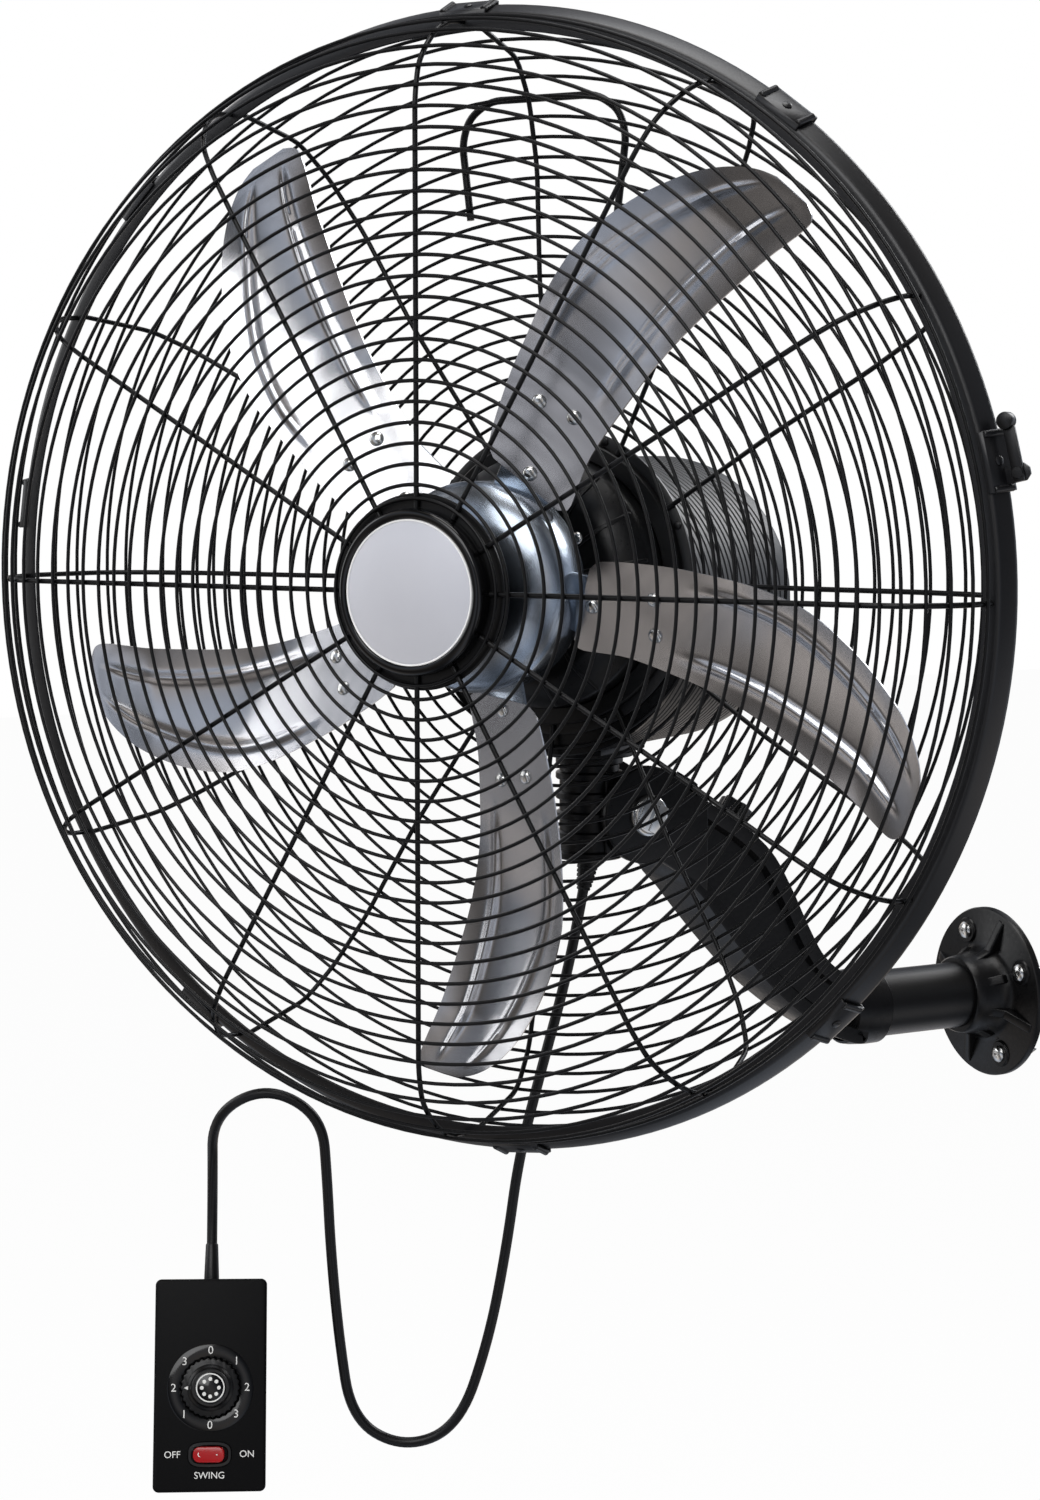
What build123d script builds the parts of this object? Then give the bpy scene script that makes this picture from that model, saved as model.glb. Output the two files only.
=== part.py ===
"""Wall-mounted 24 inch oscillating fan with a pendant control box.

Frame: origin at the centre of the wall flange on the wall plane Y = 0, the fan
stands out to -Y, +Z is up and +X is the bolt-head side of the arm. Millimetres.
"""
import math
import os

from build123d import *

os.makedirs("parts", exist_ok=True)

# ---------------------------------------------------------------- driving sizes
RUN = 0.05            # radial clearance of a turning shaft in its bore
EASE = 0.15           # radial clearance of a seat inside one body
GAP = 0.3             # clearance between two moving bodies

FLANGE_R = 60.0
FLANGE_T = 6.0
SCREW_PCD = 92.0
SCREW_HOLE_R = 3.4
SCREW_R = 2.8
SCREW_LEN = 26.0      # thread that stands into the wall
SCREW_TURN = 26.0
TUBE_R = 23.0
TUBE_WALL = 3.0
TUBE_END = 124.0      # distance of the tube end from the wall

TILT_Y, TILT_Z = -304.3, 148.2
TILT_PIN_R = 6.0
KNUCKLE_R = 32.0
FORK_IN = 22.6        # half width of the fork slot
FORK_OUT = 30.0       # half width across the fork
NECK_R = 22.0
NECK_BOTTOM, NECK_TOP = 119.0, 186.0
PAN_Y = -331.4
PAN_PIN_R = 9.0

REST_PAN = 31.94      # swing of the head towards +X as it stands
HEAD_REACH = 215.8    # pan axis to the front face of the cage
HEAD_Z = 301.9

WIRE_W, WIRE_H = 2.6, 2.2      # guard ring wire, seat width and height
SPOKE_W = 3.2
RING_PITCH = 12.0
SPOKES = 12

MOTOR_DROP = 17.0     # the round shell hangs below the shaft by this much
SHELL_R = 95.0
SHELL_BORE = 92.0
COVER_R = 80.0
SHAFT_R = 6.0
CORE_REAR, CORE_LEN = 258.0, 52.0
BADGE_R = 49.0

BLADES = 5
BLADE_T = 1.6
BLADE_TIP = 120.1     # angle of the first blade tip
BLADE_MID = -79.0     # distance of the rotor plane behind the cage face
BLADE_PITCH = 0.36    # rise of the blade across its width at the root

CORD_R = 3.5
BOX_W, BOX_H = 74.0, 138.0
BOX_HALF = 17.0
BOX_LEAN, BOX_TURN, BOX_ROLL = 18.5, 67.6, -1.3
BOX_AT = (-120.4, -552.8, -237.0)
KNOB_Y = -2.0
ROCKER_Y = -45.0
ROCKER_UP = 14.0      # height of the rocker's pin above the middle of the box
ROCKER_PIN_R = 1.2
ROCKER_TILT = 8.0

# ---------------------------------------------------------------- frames
yaw = math.radians(REST_PAN)
RIGHT = Vector(math.cos(yaw), math.sin(yaw), 0)
FWD = Vector(math.sin(yaw), -math.cos(yaw), 0)
HEAD_AT = Vector(0, PAN_Y, HEAD_Z) + FWD * HEAD_REACH
WALL = Plane(origin=(0, 0, 0), x_dir=(1, 0, 0), z_dir=(0, -1, 0))
SIDE = Plane(origin=(0, 0, 0), x_dir=(0, 1, 0), z_dir=(1, 0, 0))
HEAD = Plane(origin=HEAD_AT, x_dir=RIGHT, z_dir=FWD)
HEAD_RT = Plane(origin=HEAD_AT, x_dir=RIGHT, z_dir=(0, 0, -1))
HEAD_AXIS = Axis(HEAD_AT, FWD)
SHELL_AT = HEAD_AT - Vector(0, 0, MOTOR_DROP)
SHELL = Plane(origin=SHELL_AT, x_dir=RIGHT, z_dir=FWD)
PAN = Plane(origin=(0, PAN_Y, 0), x_dir=RIGHT, z_dir=(0, 0, 1))


def box_frame():
    """Frame of the control box: x right, y up along the box, z out of its face."""
    a, e, r = (math.radians(v) for v in (BOX_TURN, BOX_LEAN, BOX_ROLL))
    out = Vector(math.sin(a) * math.cos(e), -math.cos(a) * math.cos(e), math.sin(e))
    right = Vector(math.cos(a), math.sin(a), 0)
    up = out.cross(right)
    return Plane(origin=BOX_AT, x_dir=right * math.cos(r) + up * math.sin(r), z_dir=out)


BOX = box_frame()
ROCKER_AT = BOX.origin + BOX.y_dir * ROCKER_Y + BOX.z_dir * ROCKER_UP


# ---------------------------------------------------------------- helpers
def at_height(profile, radius):
    """Distance ahead and slope of a guard profile at a radius from the shaft."""
    for (r0, t0), (r1, t1) in zip(profile, profile[1:]):
        if min(r0, r1) <= radius <= max(r0, r1) and abs(r1 - r0) > 0.5:
            return t0 + (t1 - t0) * (radius - r0) / (r1 - r0), math.atan2(t1 - t0, r1 - r0)
    raise ValueError(radius)


def turned(profile, sides=36, at=HEAD_AT):
    """A closed outline of radius and distance ahead, taken round the axis in equal flats."""
    loops = []
    for r, t in profile:
        if r == 0:
            loops.append([at + FWD * t])
            continue
        turns = [2 * math.pi * k / sides for k in range(sides)]
        loops.append([at + FWD * t + (RIGHT * math.cos(a) + Vector(0, 0, 1) * math.sin(a)) * r for a in turns])
    faces = []
    for i in range(len(profile)):
        j = (i + 1) % len(profile)
        a, b = loops[i], loops[j]
        if len(a) == 1 and len(b) == 1:
            continue
        if len(a) == 1 or len(b) == 1:
            rim = b if len(a) == 1 else a
            assert profile[i][1] == profile[j][1], "an outline meets the axis squarely"
            faces.append(Face(Wire.make_polygon(rim, close=True)))
            continue
        for k in range(sides):
            m = (k + 1) % sides
            faces.append(Face(Wire.make_polygon([a[k], a[m], b[m], b[k]], close=True)))
    body = Solid(Shell(faces))
    return body if body.volume > 0 else Solid(body.wrapped.Reversed())


def ring_wire(profile, radius, out, sides=24):
    """One guard ring: a triangular wire, its flat seated on the spokes' outer face."""
    t, slope = at_height(profile, radius)
    lift = 0.02 + 0.2 * abs(math.sin(slope))
    ur, ut = math.cos(slope), math.sin(slope)
    nr, nt = -ut * out, ur * out
    base_r, base_t = radius + nr * lift, t + nt * lift
    return turned([
        (base_r - ur * WIRE_W / 2, base_t - ut * WIRE_W / 2),
        (base_r + ur * WIRE_W / 2, base_t + ut * WIRE_W / 2),
        (base_r + nr * WIRE_H, base_t + nt * WIRE_H),
    ], sides)


def eased(width, height, corner, centre=(0.0, 0.0)):
    """Corner points of a rectangle with each corner eased by two flats."""
    points = []
    for sx, sy, start in ((1, 1, 0), (-1, 1, 90), (-1, -1, 180), (1, -1, 270)):
        for k in range(3):
            x, y = polar(corner, start + 45 * k)
            points.append((centre[0] + sx * (width / 2 - corner) + x, centre[1] + sy * (height / 2 - corner) + y))
    return points


def inner_line(points, depth):
    """The line that runs a wire's thickness inside a bent outer line."""
    inner = []
    for i, (r, t) in enumerate(points):
        r0, t0 = points[max(i - 1, 0)]
        r1, t1 = points[min(i + 1, len(points) - 1)]
        d1, d2 = (r - r0, t - t0), (r1 - r, t1 - t)
        n = [(-dt / math.hypot(dr, dt), dr / math.hypot(dr, dt))
             for dr, dt in (d1, d2) if math.hypot(dr, dt) > 0]
        nr, nt = sum(v[0] for v in n) / len(n), sum(v[1] for v in n) / len(n)
        size = nr * nr + nt * nt
        inner.append((r - depth * nr / size, t - depth * nt / size))
    return inner


def polar(radius, degrees, offset=(0.0, 0.0)):
    """A point at a radius and angle."""
    a = math.radians(degrees)
    return offset[0] + radius * math.cos(a), offset[1] + radius * math.sin(a)


# ---------------------------------------------------------------- wall flange
with BuildPart() as wall_flange:
    with BuildSketch(WALL):
        RegularPolygon(FLANGE_R, 40)
    extrude(amount=FLANGE_T)
    with BuildSketch(WALL.offset(FLANGE_T)):
        with PolarLocations(SCREW_PCD / 2, 4, start_angle=SCREW_TURN):
            RegularPolygon(9, 12)
    extrude(amount=2)
    with BuildSketch(WALL.offset(FLANGE_T)):
        RegularPolygon(TUBE_R + 8, 24)
    extrude(amount=26, taper=10)
    for turn, reach in ((26, 36.0), (71, 56.0), (116, 36.0), (161, 56.0)):
        ux, uz = polar(1, turn)
        with BuildSketch(Plane(origin=(0, 0, 0), x_dir=(ux, 0, uz), z_dir=(uz, 0, -ux))):
            with BuildLine():
                Polyline((-reach, 5), (reach, 5), (reach, 8), (25, 26), (-25, 26), (-reach, 8), close=True)
            make_face()
        extrude(amount=2.5, both=True)
    with BuildSketch(WALL.offset(FLANGE_T + 2)):
        RegularPolygon(TUBE_R + EASE, 24)
    extrude(amount=40, mode=Mode.SUBTRACT)
    with BuildSketch(WALL):
        with PolarLocations(SCREW_PCD / 2, 4, start_angle=SCREW_TURN):
            RegularPolygon(SCREW_HOLE_R, 8)
    extrude(amount=20, mode=Mode.SUBTRACT)
wall_flange.part.label = "wall_flange"
export_step(wall_flange.part, "parts/wall_flange.step")

with BuildPart() as wall_screws:
    with BuildSketch(WALL.offset(FLANGE_T + 2)):
        with PolarLocations(SCREW_PCD / 2, 4, start_angle=SCREW_TURN):
            RegularPolygon(6, 10)
    extrude(amount=3.4, taper=12)
    with BuildSketch(WALL):
        with PolarLocations(SCREW_PCD / 2, 4, start_angle=SCREW_TURN):
            RegularPolygon(SCREW_R, 8)
    extrude(amount=FLANGE_T + 2.2)
    with BuildSketch(WALL.offset(-SCREW_LEN)):
        with PolarLocations(SCREW_PCD / 2, 4, start_angle=SCREW_TURN):
            Circle(SCREW_R)
    extrude(amount=SCREW_LEN)
wall_screws.part.label = "wall_screws"
export_step(wall_screws.part, "parts/wall_screws.step")

with BuildPart() as arm_tube:
    with BuildSketch(WALL.offset(FLANGE_T + 2)):
        RegularPolygon(TUBE_R, 24)
        RegularPolygon(TUBE_R - TUBE_WALL, 24, mode=Mode.SUBTRACT)
    extrude(amount=TUBE_END - FLANGE_T - 2)
arm_tube.part.label = "arm_tube"
export_step(arm_tube.part, "parts/arm_tube.step")

# ---------------------------------------------------------------- arm casting
knuckle = [polar(KNUCKLE_R, a, (TILT_Y, TILT_Z)) for a in (60, 85, 110, 135, 160, 185, 210, 235, 260, 285)]
ARM_SIDE = [(-TUBE_END, 23), (-160, 41), (-186, 86), (-201, 113), (-240, 143), (-268, 160)]
ARM_SIDE += knuckle + [(-273, 106), (-245, 70), (-205, 26), (-164, -6), (-TUBE_END, -21)]
with BuildPart() as arm_casting:
    with BuildSketch(SIDE):
        with BuildLine():
            Polyline(*ARM_SIDE, close=True)
        make_face()
    extrude(amount=FORK_OUT, both=True)
    with BuildSketch(Plane.XY.offset(-60)):
        with BuildLine():
            Polyline((21, -100), (24, -170), (FORK_OUT, -262), (FORK_OUT, -350), (-FORK_OUT, -350),
                     (-FORK_OUT, -262), (-24, -170), (-21, -100), close=True)
        make_face()
    extrude(amount=300, mode=Mode.INTERSECT)
    with BuildSketch(WALL.offset(TUBE_END - 14)):
        RegularPolygon(TUBE_R + 3.5, 24)
    extrude(amount=22, taper=6)
    with BuildSketch(WALL.offset(TUBE_END - 20)):
        RegularPolygon(TUBE_R + EASE, 24)
    extrude(amount=20, mode=Mode.SUBTRACT)
    with BuildSketch(Plane.XY.offset(60)):
        with BuildLine():
            Polyline((FORK_IN, -350), (FORK_IN, -276), (-FORK_IN, -276), (-FORK_IN, -350), close=True)
        make_face()
    extrude(amount=200, mode=Mode.SUBTRACT)
    for side in (1, -1):
        with BuildSketch(Plane(origin=(side * 60, 0, 0), x_dir=(0, 1, 0), z_dir=(1, 0, 0))):
            with BuildLine():
                Polyline((-262, 128), (-258, 142), (-226, 122), (-204, 98), (-214, 88), close=True)
            make_face()
            with BuildLine():
                Polyline((-218, 78), (-200, 90), (-176, 50), (-160, 30), (-180, 16), close=True)
            make_face()
        extrude(amount=-side * (60 - 19.5), mode=Mode.SUBTRACT)
    with BuildSketch(SIDE):
        with Locations((TILT_Y, TILT_Z)):
            RegularPolygon(TILT_PIN_R + 0.35, 12)
    extrude(amount=60, both=True, mode=Mode.SUBTRACT)
    CLAMP = Plane(origin=(0, -226, 133.6), x_dir=(1, 0, 0), z_dir=(0, 0.583, 0.812))
    with BuildSketch(CLAMP.offset(-6)):
        RegularPolygon(8, 12)
    extrude(amount=10)
    with BuildSketch(CLAMP.offset(-10)):
        Circle(4 + RUN)
    extrude(amount=20, mode=Mode.SUBTRACT)
arm_casting.part.label = "arm_casting"
export_step(arm_casting.part, "parts/arm_casting.step")

with BuildPart() as tilt_bolt:
    with BuildSketch(SIDE.offset(FORK_OUT)):
        with Locations((TILT_Y, TILT_Z)):
            RegularPolygon(14, 20)
    extrude(amount=5, taper=20)
    with BuildSketch(SIDE.offset(-FORK_OUT - 11)):
        with Locations((TILT_Y, TILT_Z)):
            Circle(TILT_PIN_R)
    extrude(amount=2 * FORK_OUT + 12)
    with BuildSketch(SIDE.offset(FORK_OUT + 3.4)):
        with Locations((TILT_Y, TILT_Z)):
            Rectangle(24, 2.4, rotation=62)
    extrude(amount=4, mode=Mode.SUBTRACT)
tilt_bolt.part.label = "tilt_bolt"
export_step(tilt_bolt.part, "parts/tilt_bolt.step")

with BuildPart() as tilt_nut:
    with BuildSketch(SIDE.offset(-FORK_OUT - 1.6)):
        with Locations((TILT_Y, TILT_Z)):
            RegularPolygon(12, 16)
            RegularPolygon(TILT_PIN_R + 0.35, 12, mode=Mode.SUBTRACT)
    extrude(amount=1.6)
    with BuildSketch(SIDE.offset(-FORK_OUT - 9.6)):
        with Locations((TILT_Y, TILT_Z)):
            RegularPolygon(10.5, 6)
            RegularPolygon(TILT_PIN_R + 0.35, 12, mode=Mode.SUBTRACT)
    extrude(amount=8)
tilt_nut.part.label = "tilt_nut"
export_step(tilt_nut.part, "parts/tilt_nut.step")

with BuildPart() as tilt_knob:
    with BuildSketch(CLAMP.offset(4 + GAP)):
        RegularPolygon(9, 10)
        with PolarLocations(9, 5):
            RegularPolygon(3.6, 6)
    extrude(amount=13)
    with BuildSketch(CLAMP.offset(-8)):
        RegularPolygon(4, 12)
    extrude(amount=14)
tilt_knob.part.label = "tilt_knob"
export_step(tilt_knob.part, "parts/tilt_knob.step")

# ---------------------------------------------------------------- neck
with BuildPart() as neck_housing:
    with BuildSketch(PAN.offset(NECK_BOTTOM)):
        RegularPolygon(NECK_R - 2.5, 16)
    extrude(amount=NECK_TOP - NECK_BOTTOM)
    for z in (119, 132, 145, 158, 171):
        with BuildSketch(PAN.offset(z)):
            RegularPolygon(NECK_R, 16)
        extrude(amount=5)
    with BuildSketch(PAN.offset(NECK_TOP - 6)):
        RegularPolygon(NECK_R, 16)
    extrude(amount=6)
    lug = [polar(25, a, (TILT_Y, TILT_Z)) for a in (-95, -70, -45, -20, 5, 30, 55, 80, 105)]
    with BuildSketch(SIDE):
        with BuildLine():
            Polyline((PAN_Y, 122), *lug, (PAN_Y, 178), close=True)
        make_face()
    extrude(amount=FORK_IN - GAP - 1.0, both=True)
    with BuildSketch(SIDE):
        with Locations((TILT_Y, TILT_Z)):
            Circle(TILT_PIN_R + RUN)
    extrude(amount=60, both=True, mode=Mode.SUBTRACT)
    with BuildSketch(PAN.offset(134)):
        Circle(PAN_PIN_R + RUN)
    extrude(amount=80, mode=Mode.SUBTRACT)
    with BuildSketch(PAN.offset(122)):
        RegularPolygon(15.2, 16)
    extrude(amount=12, mode=Mode.SUBTRACT)
    with BuildSketch(PAN.offset(100)):
        RegularPolygon(5, 8)
    extrude(amount=30, mode=Mode.SUBTRACT)
neck_housing.part.label = "neck_housing"
export_step(neck_housing.part, "parts/neck_housing.step")

with BuildPart() as swing_motor:
    with BuildSketch(PAN.offset(122)):
        RegularPolygon(14.6, 16)
    extrude(amount=10.5)
    with BuildSketch(PAN.offset(132)):
        RegularPolygon(3, 12)
    extrude(amount=9)
swing_motor.part.label = "swing_motor"
export_step(swing_motor.part, "parts/swing_motor.step")

i_dir = Vector(math.cos(math.radians(61.466)), math.sin(math.radians(61.466)), 0)


def hang(u, z):
    """A point of the plane in which the cord hangs, out from the pan axis."""
    return Vector(0, PAN_Y, z) + i_dir * u


RELIEF_DIR = (hang(-0.17, -0.985) - hang(0, 0)).normalized()
RELIEF_AT = hang(0, 119)
RELIEF_LEN = 22.0
RELIEF = Plane(origin=RELIEF_AT, x_dir=i_dir.cross(Vector(0, 0, 1)), z_dir=RELIEF_DIR)
relief_wide, relief_narrow = [], []
for k in range(12):
    x, y = polar(1.0, 30 * k)
    foot = RELIEF.from_local_coords(Vector(x * 8, y * 8, 0))
    relief_wide.append(foot + RELIEF_DIR * ((NECK_BOTTOM - foot.Z) / RELIEF_DIR.Z))
    relief_narrow.append(RELIEF.from_local_coords(Vector(x * 4.6, y * 4.6, RELIEF_LEN)))
relief_faces = [Face(Wire.make_polygon(loop, close=True)) for loop in (relief_wide, relief_narrow)]
for k in range(12):
    m = (k + 1) % 12
    for corners in ((relief_wide[k], relief_wide[m], relief_narrow[m]),
                    (relief_wide[k], relief_narrow[m], relief_narrow[k])):
        relief_faces.append(Face(Wire.make_polygon(corners, close=True)))
relief_body = Solid(Shell(relief_faces))
with BuildPart() as neck_relief:
    add(relief_body if relief_body.volume > 0 else Solid(relief_body.wrapped.Reversed()))
neck_relief.part.label = "neck_relief"
export_step(neck_relief.part, "parts/neck_relief.step")

# ---------------------------------------------------------------- cord
BOX_END = 24.0
box_end = BOX.origin + BOX.y_dir * (BOX_H / 2 + BOX_END)
across_hang = Vector(math.sin(math.radians(61.466)), -math.cos(math.radians(61.466)), 0)
CORD_POINTS = [
    RELIEF_AT + RELIEF_DIR * RELIEF_LEN,
    RELIEF_AT + RELIEF_DIR * (RELIEF_LEN + 26),
    hang(-17, 30), hang(-31.5, -24), hang(-46, -82), hang(-54, -142), hang(-66, -206), hang(-86, -266),
    hang(-123, -281), hang(-158, -261), hang(-166, -204), hang(-171, -145), hang(-173, -98), hang(-176, -54),
    hang(-213, -34.5) - across_hang * 4, hang(-250, -56) - across_hang * 12,
    box_end + BOX.y_dir * 44, box_end,
]
runs = [(b - a).length for a, b in zip(CORD_POINTS, CORD_POINTS[1:])]
turns = [math.radians((b - a).get_angle(c - b))
         for a, b, c in zip(CORD_POINTS, CORD_POINTS[1:], CORD_POINTS[2:])]
CORD_RADII = [0.45 * min(runs[k], runs[k + 1]) / math.tan(turns[k] / 2) for k in range(len(turns))]
print("cord runs", [round(v, 1) for v in runs])
print("cord turns", [round(math.degrees(v), 1) for v in turns])
print("cord radii", [round(v, 1) for v in CORD_RADII])
print("cord points", [tuple(round(v, 2) for v in p) for p in CORD_POINTS])
with BuildPart() as cord:
    with BuildLine() as cord_line:
        FilletPolyline(*CORD_POINTS, radius=CORD_RADII)
    with BuildSketch(Plane(origin=CORD_POINTS[0], z_dir=RELIEF_DIR)):
        RegularPolygon(CORD_R, 6)
    sweep(path=cord_line.wires()[0], transition=Transition.TRANSFORMED)
print("cord length", round(cord_line.wires()[0].length, 1), "volume ratio",
      round(cord.part.volume / (2.598 * CORD_R ** 2 * cord_line.wires()[0].length), 4))
cord.part.label = "cord"
export_step(cord.part, "parts/cord.step")

# ---------------------------------------------------------------- control box
with BuildPart() as box_back:
    with BuildSketch(BOX.offset(-BOX_HALF)):
        with BuildLine():
            Polyline(*eased(BOX_W - 1, BOX_H - 1, 6), close=True)
        make_face()
    extrude(amount=BOX_HALF - 1)
    with BuildSketch(BOX.offset(-BOX_HALF + 2.5)):
        Rectangle(BOX_W - 6, BOX_H - 6)
    extrude(amount=BOX_HALF, mode=Mode.SUBTRACT)
    with BuildSketch(BOX.offset(-BOX_HALF + 2)):
        with GridLocations(BOX_W - 14, BOX_H - 14, 2, 2):
            RegularPolygon(3.2, 8)
    extrude(amount=BOX_HALF - 3)
box_back.part.label = "box_back"
export_step(box_back.part, "parts/box_back.step")

with BuildPart() as box_front:
    with BuildSketch(BOX.offset(-1)):
        with BuildLine():
            Polyline(*eased(BOX_W, BOX_H, 6), close=True)
        make_face()
    extrude(amount=BOX_HALF + 1)
    chamfer(box_front.faces().sort_by(Axis(BOX_AT, BOX.z_dir))[-1].edges(), 1.6)
    with BuildSketch(BOX.offset(-1)):
        Rectangle(BOX_W - 6, BOX_H - 6)
    extrude(amount=BOX_HALF - 1.5, mode=Mode.SUBTRACT)
    with BuildSketch(BOX):
        with Locations((0, KNOB_Y)):
            RegularPolygon(4.2, 12)
        with Locations((0, ROCKER_Y)):
            Rectangle(24, 12)
    extrude(amount=30, mode=Mode.SUBTRACT)
box_front.part.label = "box_front"
export_step(box_front.part, "parts/box_front.step")

with BuildPart() as box_relief:
    with BuildSketch(Plane(origin=BOX.origin + BOX.y_dir * (BOX_H / 2), x_dir=BOX.x_dir, z_dir=BOX.y_dir)):
        RegularPolygon(8.5, 12)
    extrude(amount=BOX_END, taper=math.degrees(math.atan(3.9 / BOX_END)))
box_relief.part.label = "box_relief"
export_step(box_relief.part, "parts/box_relief.step")

with BuildPart() as dial_plate:
    with BuildSketch(BOX.offset(BOX_HALF)):
        with Locations((0, KNOB_Y)):
            RegularPolygon(28.5, 32)
            RegularPolygon(4.2, 12, mode=Mode.SUBTRACT)
    extrude(amount=0.8)
dial_plate.part.label = "dial_plate"
export_step(dial_plate.part, "parts/dial_plate.step")

with BuildPart() as speed_switch:
    with BuildSketch(BOX.offset(-4)):
        with Locations((0, KNOB_Y)):
            RegularPolygon(13, 8, rotation=22.5)
    extrude(amount=BOX_HALF - 2.5 + 4 - EASE)
    with BuildSketch(BOX):
        with Locations((0, KNOB_Y)):
            Circle(3 + RUN)
    extrude(amount=30, mode=Mode.SUBTRACT)
speed_switch.part.label = "speed_switch"
export_step(speed_switch.part, "parts/speed_switch.step")

KNOB = BOX.offset(BOX_HALF + 0.8 + GAP)
with BuildPart() as speed_knob:
    with BuildSketch(KNOB):
        with Locations((0, KNOB_Y)):
            RegularPolygon(19.5, 24)
    extrude(amount=5, taper=18)
    with BuildSketch(KNOB.offset(4)):
        with Locations((0, KNOB_Y)):
            RegularPolygon(13, 24)
    extrude(amount=8, taper=8)
    with BuildSketch(BOX.offset(1)):
        with Locations((0, KNOB_Y)):
            RegularPolygon(3, 16)
    extrude(amount=BOX_HALF + 2)
speed_knob.part.label = "speed_knob"
export_step(speed_knob.part, "parts/speed_knob.step")

with BuildPart() as knob_cap:
    with BuildSketch(KNOB.offset(12)):
        with Locations((0, KNOB_Y)):
            RegularPolygon(10.5, 24)
    extrude(amount=1.0)
knob_cap.part.label = "knob_cap"
export_step(knob_cap.part, "parts/knob_cap.step")

with BuildPart() as rocker_frame:
    with BuildSketch(BOX.offset(BOX_HALF)):
        with BuildLine():
            Polyline(*eased(29, 17, 6, (0, ROCKER_Y)), close=True)
        make_face()
        with Locations((0, ROCKER_Y)):
            Rectangle(22.6, 10.6, mode=Mode.SUBTRACT)
    extrude(amount=1.6)
    with BuildSketch(BOX.offset(3)):
        with Locations((0, ROCKER_Y)):
            Rectangle(23.8, 11.8)
            Rectangle(22.6, 10.6, mode=Mode.SUBTRACT)
    extrude(amount=BOX_HALF - 3)
    with BuildSketch(BOX.offset(2)):
        with Locations((0, ROCKER_Y)):
            Rectangle(23.8, 11.8)
    extrude(amount=1.2)
    with BuildSketch(Plane(origin=ROCKER_AT, x_dir=BOX.x_dir, z_dir=-BOX.y_dir)):
        Circle(ROCKER_PIN_R + RUN)
    extrude(amount=8, both=True, mode=Mode.SUBTRACT)
rocker_frame.part.label = "rocker_frame"
export_step(rocker_frame.part, "parts/rocker_frame.step")

# The rocker rests with its right end up, and rocks over by twice its tilt.
lean = math.radians(ROCKER_TILT)
rocker_plane = Plane(origin=ROCKER_AT, x_dir=BOX.x_dir * math.cos(lean) + BOX.z_dir * math.sin(lean),
                     z_dir=-BOX.y_dir)
with BuildPart() as swing_rocker:
    with BuildSketch(rocker_plane):
        with BuildLine():
            Polyline((-10.2, 6), (0, 4.8), (10.2, 6), (10.2, -1), (3, -8), (-3, -8), (-10.2, -1), close=True)
        make_face()
    extrude(amount=5.0, both=True)
    with BuildSketch(rocker_plane):
        Circle(ROCKER_PIN_R)
    extrude(amount=5.7, both=True)
swing_rocker.part.label = "swing_rocker"
export_step(swing_rocker.part, "parts/swing_rocker.step")

with BuildPart() as box_screws:
    with BuildSketch(BOX.offset(-BOX_HALF - 1.6)):
        with GridLocations(BOX_W - 14, BOX_H - 14, 2, 2):
            RegularPolygon(3, 8)
    extrude(amount=1.6)
box_screws.part.label = "box_screws"
export_step(box_screws.part, "parts/box_screws.step")

# ---------------------------------------------------------------- saddle and motor
with BuildPart() as pan_saddle:
    with BuildSketch(PAN.offset(NECK_TOP + GAP)):
        RegularPolygon(29, 24)
    extrude(amount=3.2)
    with BuildSketch(PAN.offset(NECK_TOP + GAP + 3.2)):
        Rectangle(50, 62)
    extrude(amount=24)
    with BuildSketch(SHELL.offset(-100)):
        RegularPolygon(SHELL_R + EASE, 36)
    extrude(amount=-300, mode=Mode.SUBTRACT)
    with BuildSketch(PAN.offset(134 + GAP)):
        Circle(PAN_PIN_R)
    extrude(amount=NECK_TOP + 1 - 134)
    with BuildSketch(PAN.offset(130)):
        RegularPolygon(3.4, 8)
    extrude(amount=14, mode=Mode.SUBTRACT)
pan_saddle.part.label = "pan_saddle"
export_step(pan_saddle.part, "parts/pan_saddle.step")

SHELL_FRONT, SHELL_REAR = -176.0, -341.0
motor_shell_solid = turned(
    [(0, SHELL_REAR), (68, SHELL_REAR), (87, -334), (SHELL_R, -319), (SHELL_R, SHELL_FRONT),
     (SHELL_BORE, SHELL_FRONT), (SHELL_BORE, -317), (66, SHELL_REAR + 3), (0, SHELL_REAR + 3)],
    36, SHELL_AT)
with BuildPart() as motor_shell:
    add(motor_shell_solid)
    with BuildSketch(HEAD.offset(SHELL_REAR - 1)):
        RegularPolygon(10, 12)
    extrude(amount=14, mode=Mode.SUBTRACT)
motor_shell.part.label = "motor_shell"
export_step(motor_shell.part, "parts/motor_shell.step")

cover_drum = turned([(SHAFT_R + 2, -134), (60, -131), (COVER_R, -146), (COVER_R, -171), (77, -171),
                     (77, -148), (58, -134.5), (SHAFT_R + 2, -137)])
with BuildPart() as motor_front_cover:
    add(cover_drum)
    with BuildSketch(SHELL.offset(SHELL_FRONT)):
        RegularPolygon(SHELL_R, 36)
    extrude(amount=5.5)
    with BuildSketch(HEAD.offset(SHELL_FRONT - 1)):
        RegularPolygon(72, 24)
    extrude(amount=20, mode=Mode.SUBTRACT)
motor_front_cover.part.label = "motor_front_cover"
export_step(motor_front_cover.part, "parts/motor_front_cover.step")

with BuildPart() as cover_screws:
    with BuildSketch(HEAD.offset(-131.4)):
        with PolarLocations(46, 4, start_angle=38):
            RegularPolygon(4.2, 8)
    extrude(amount=2.6)
cover_screws.part.label = "cover_screws"
export_step(cover_screws.part, "parts/cover_screws.step")

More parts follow.
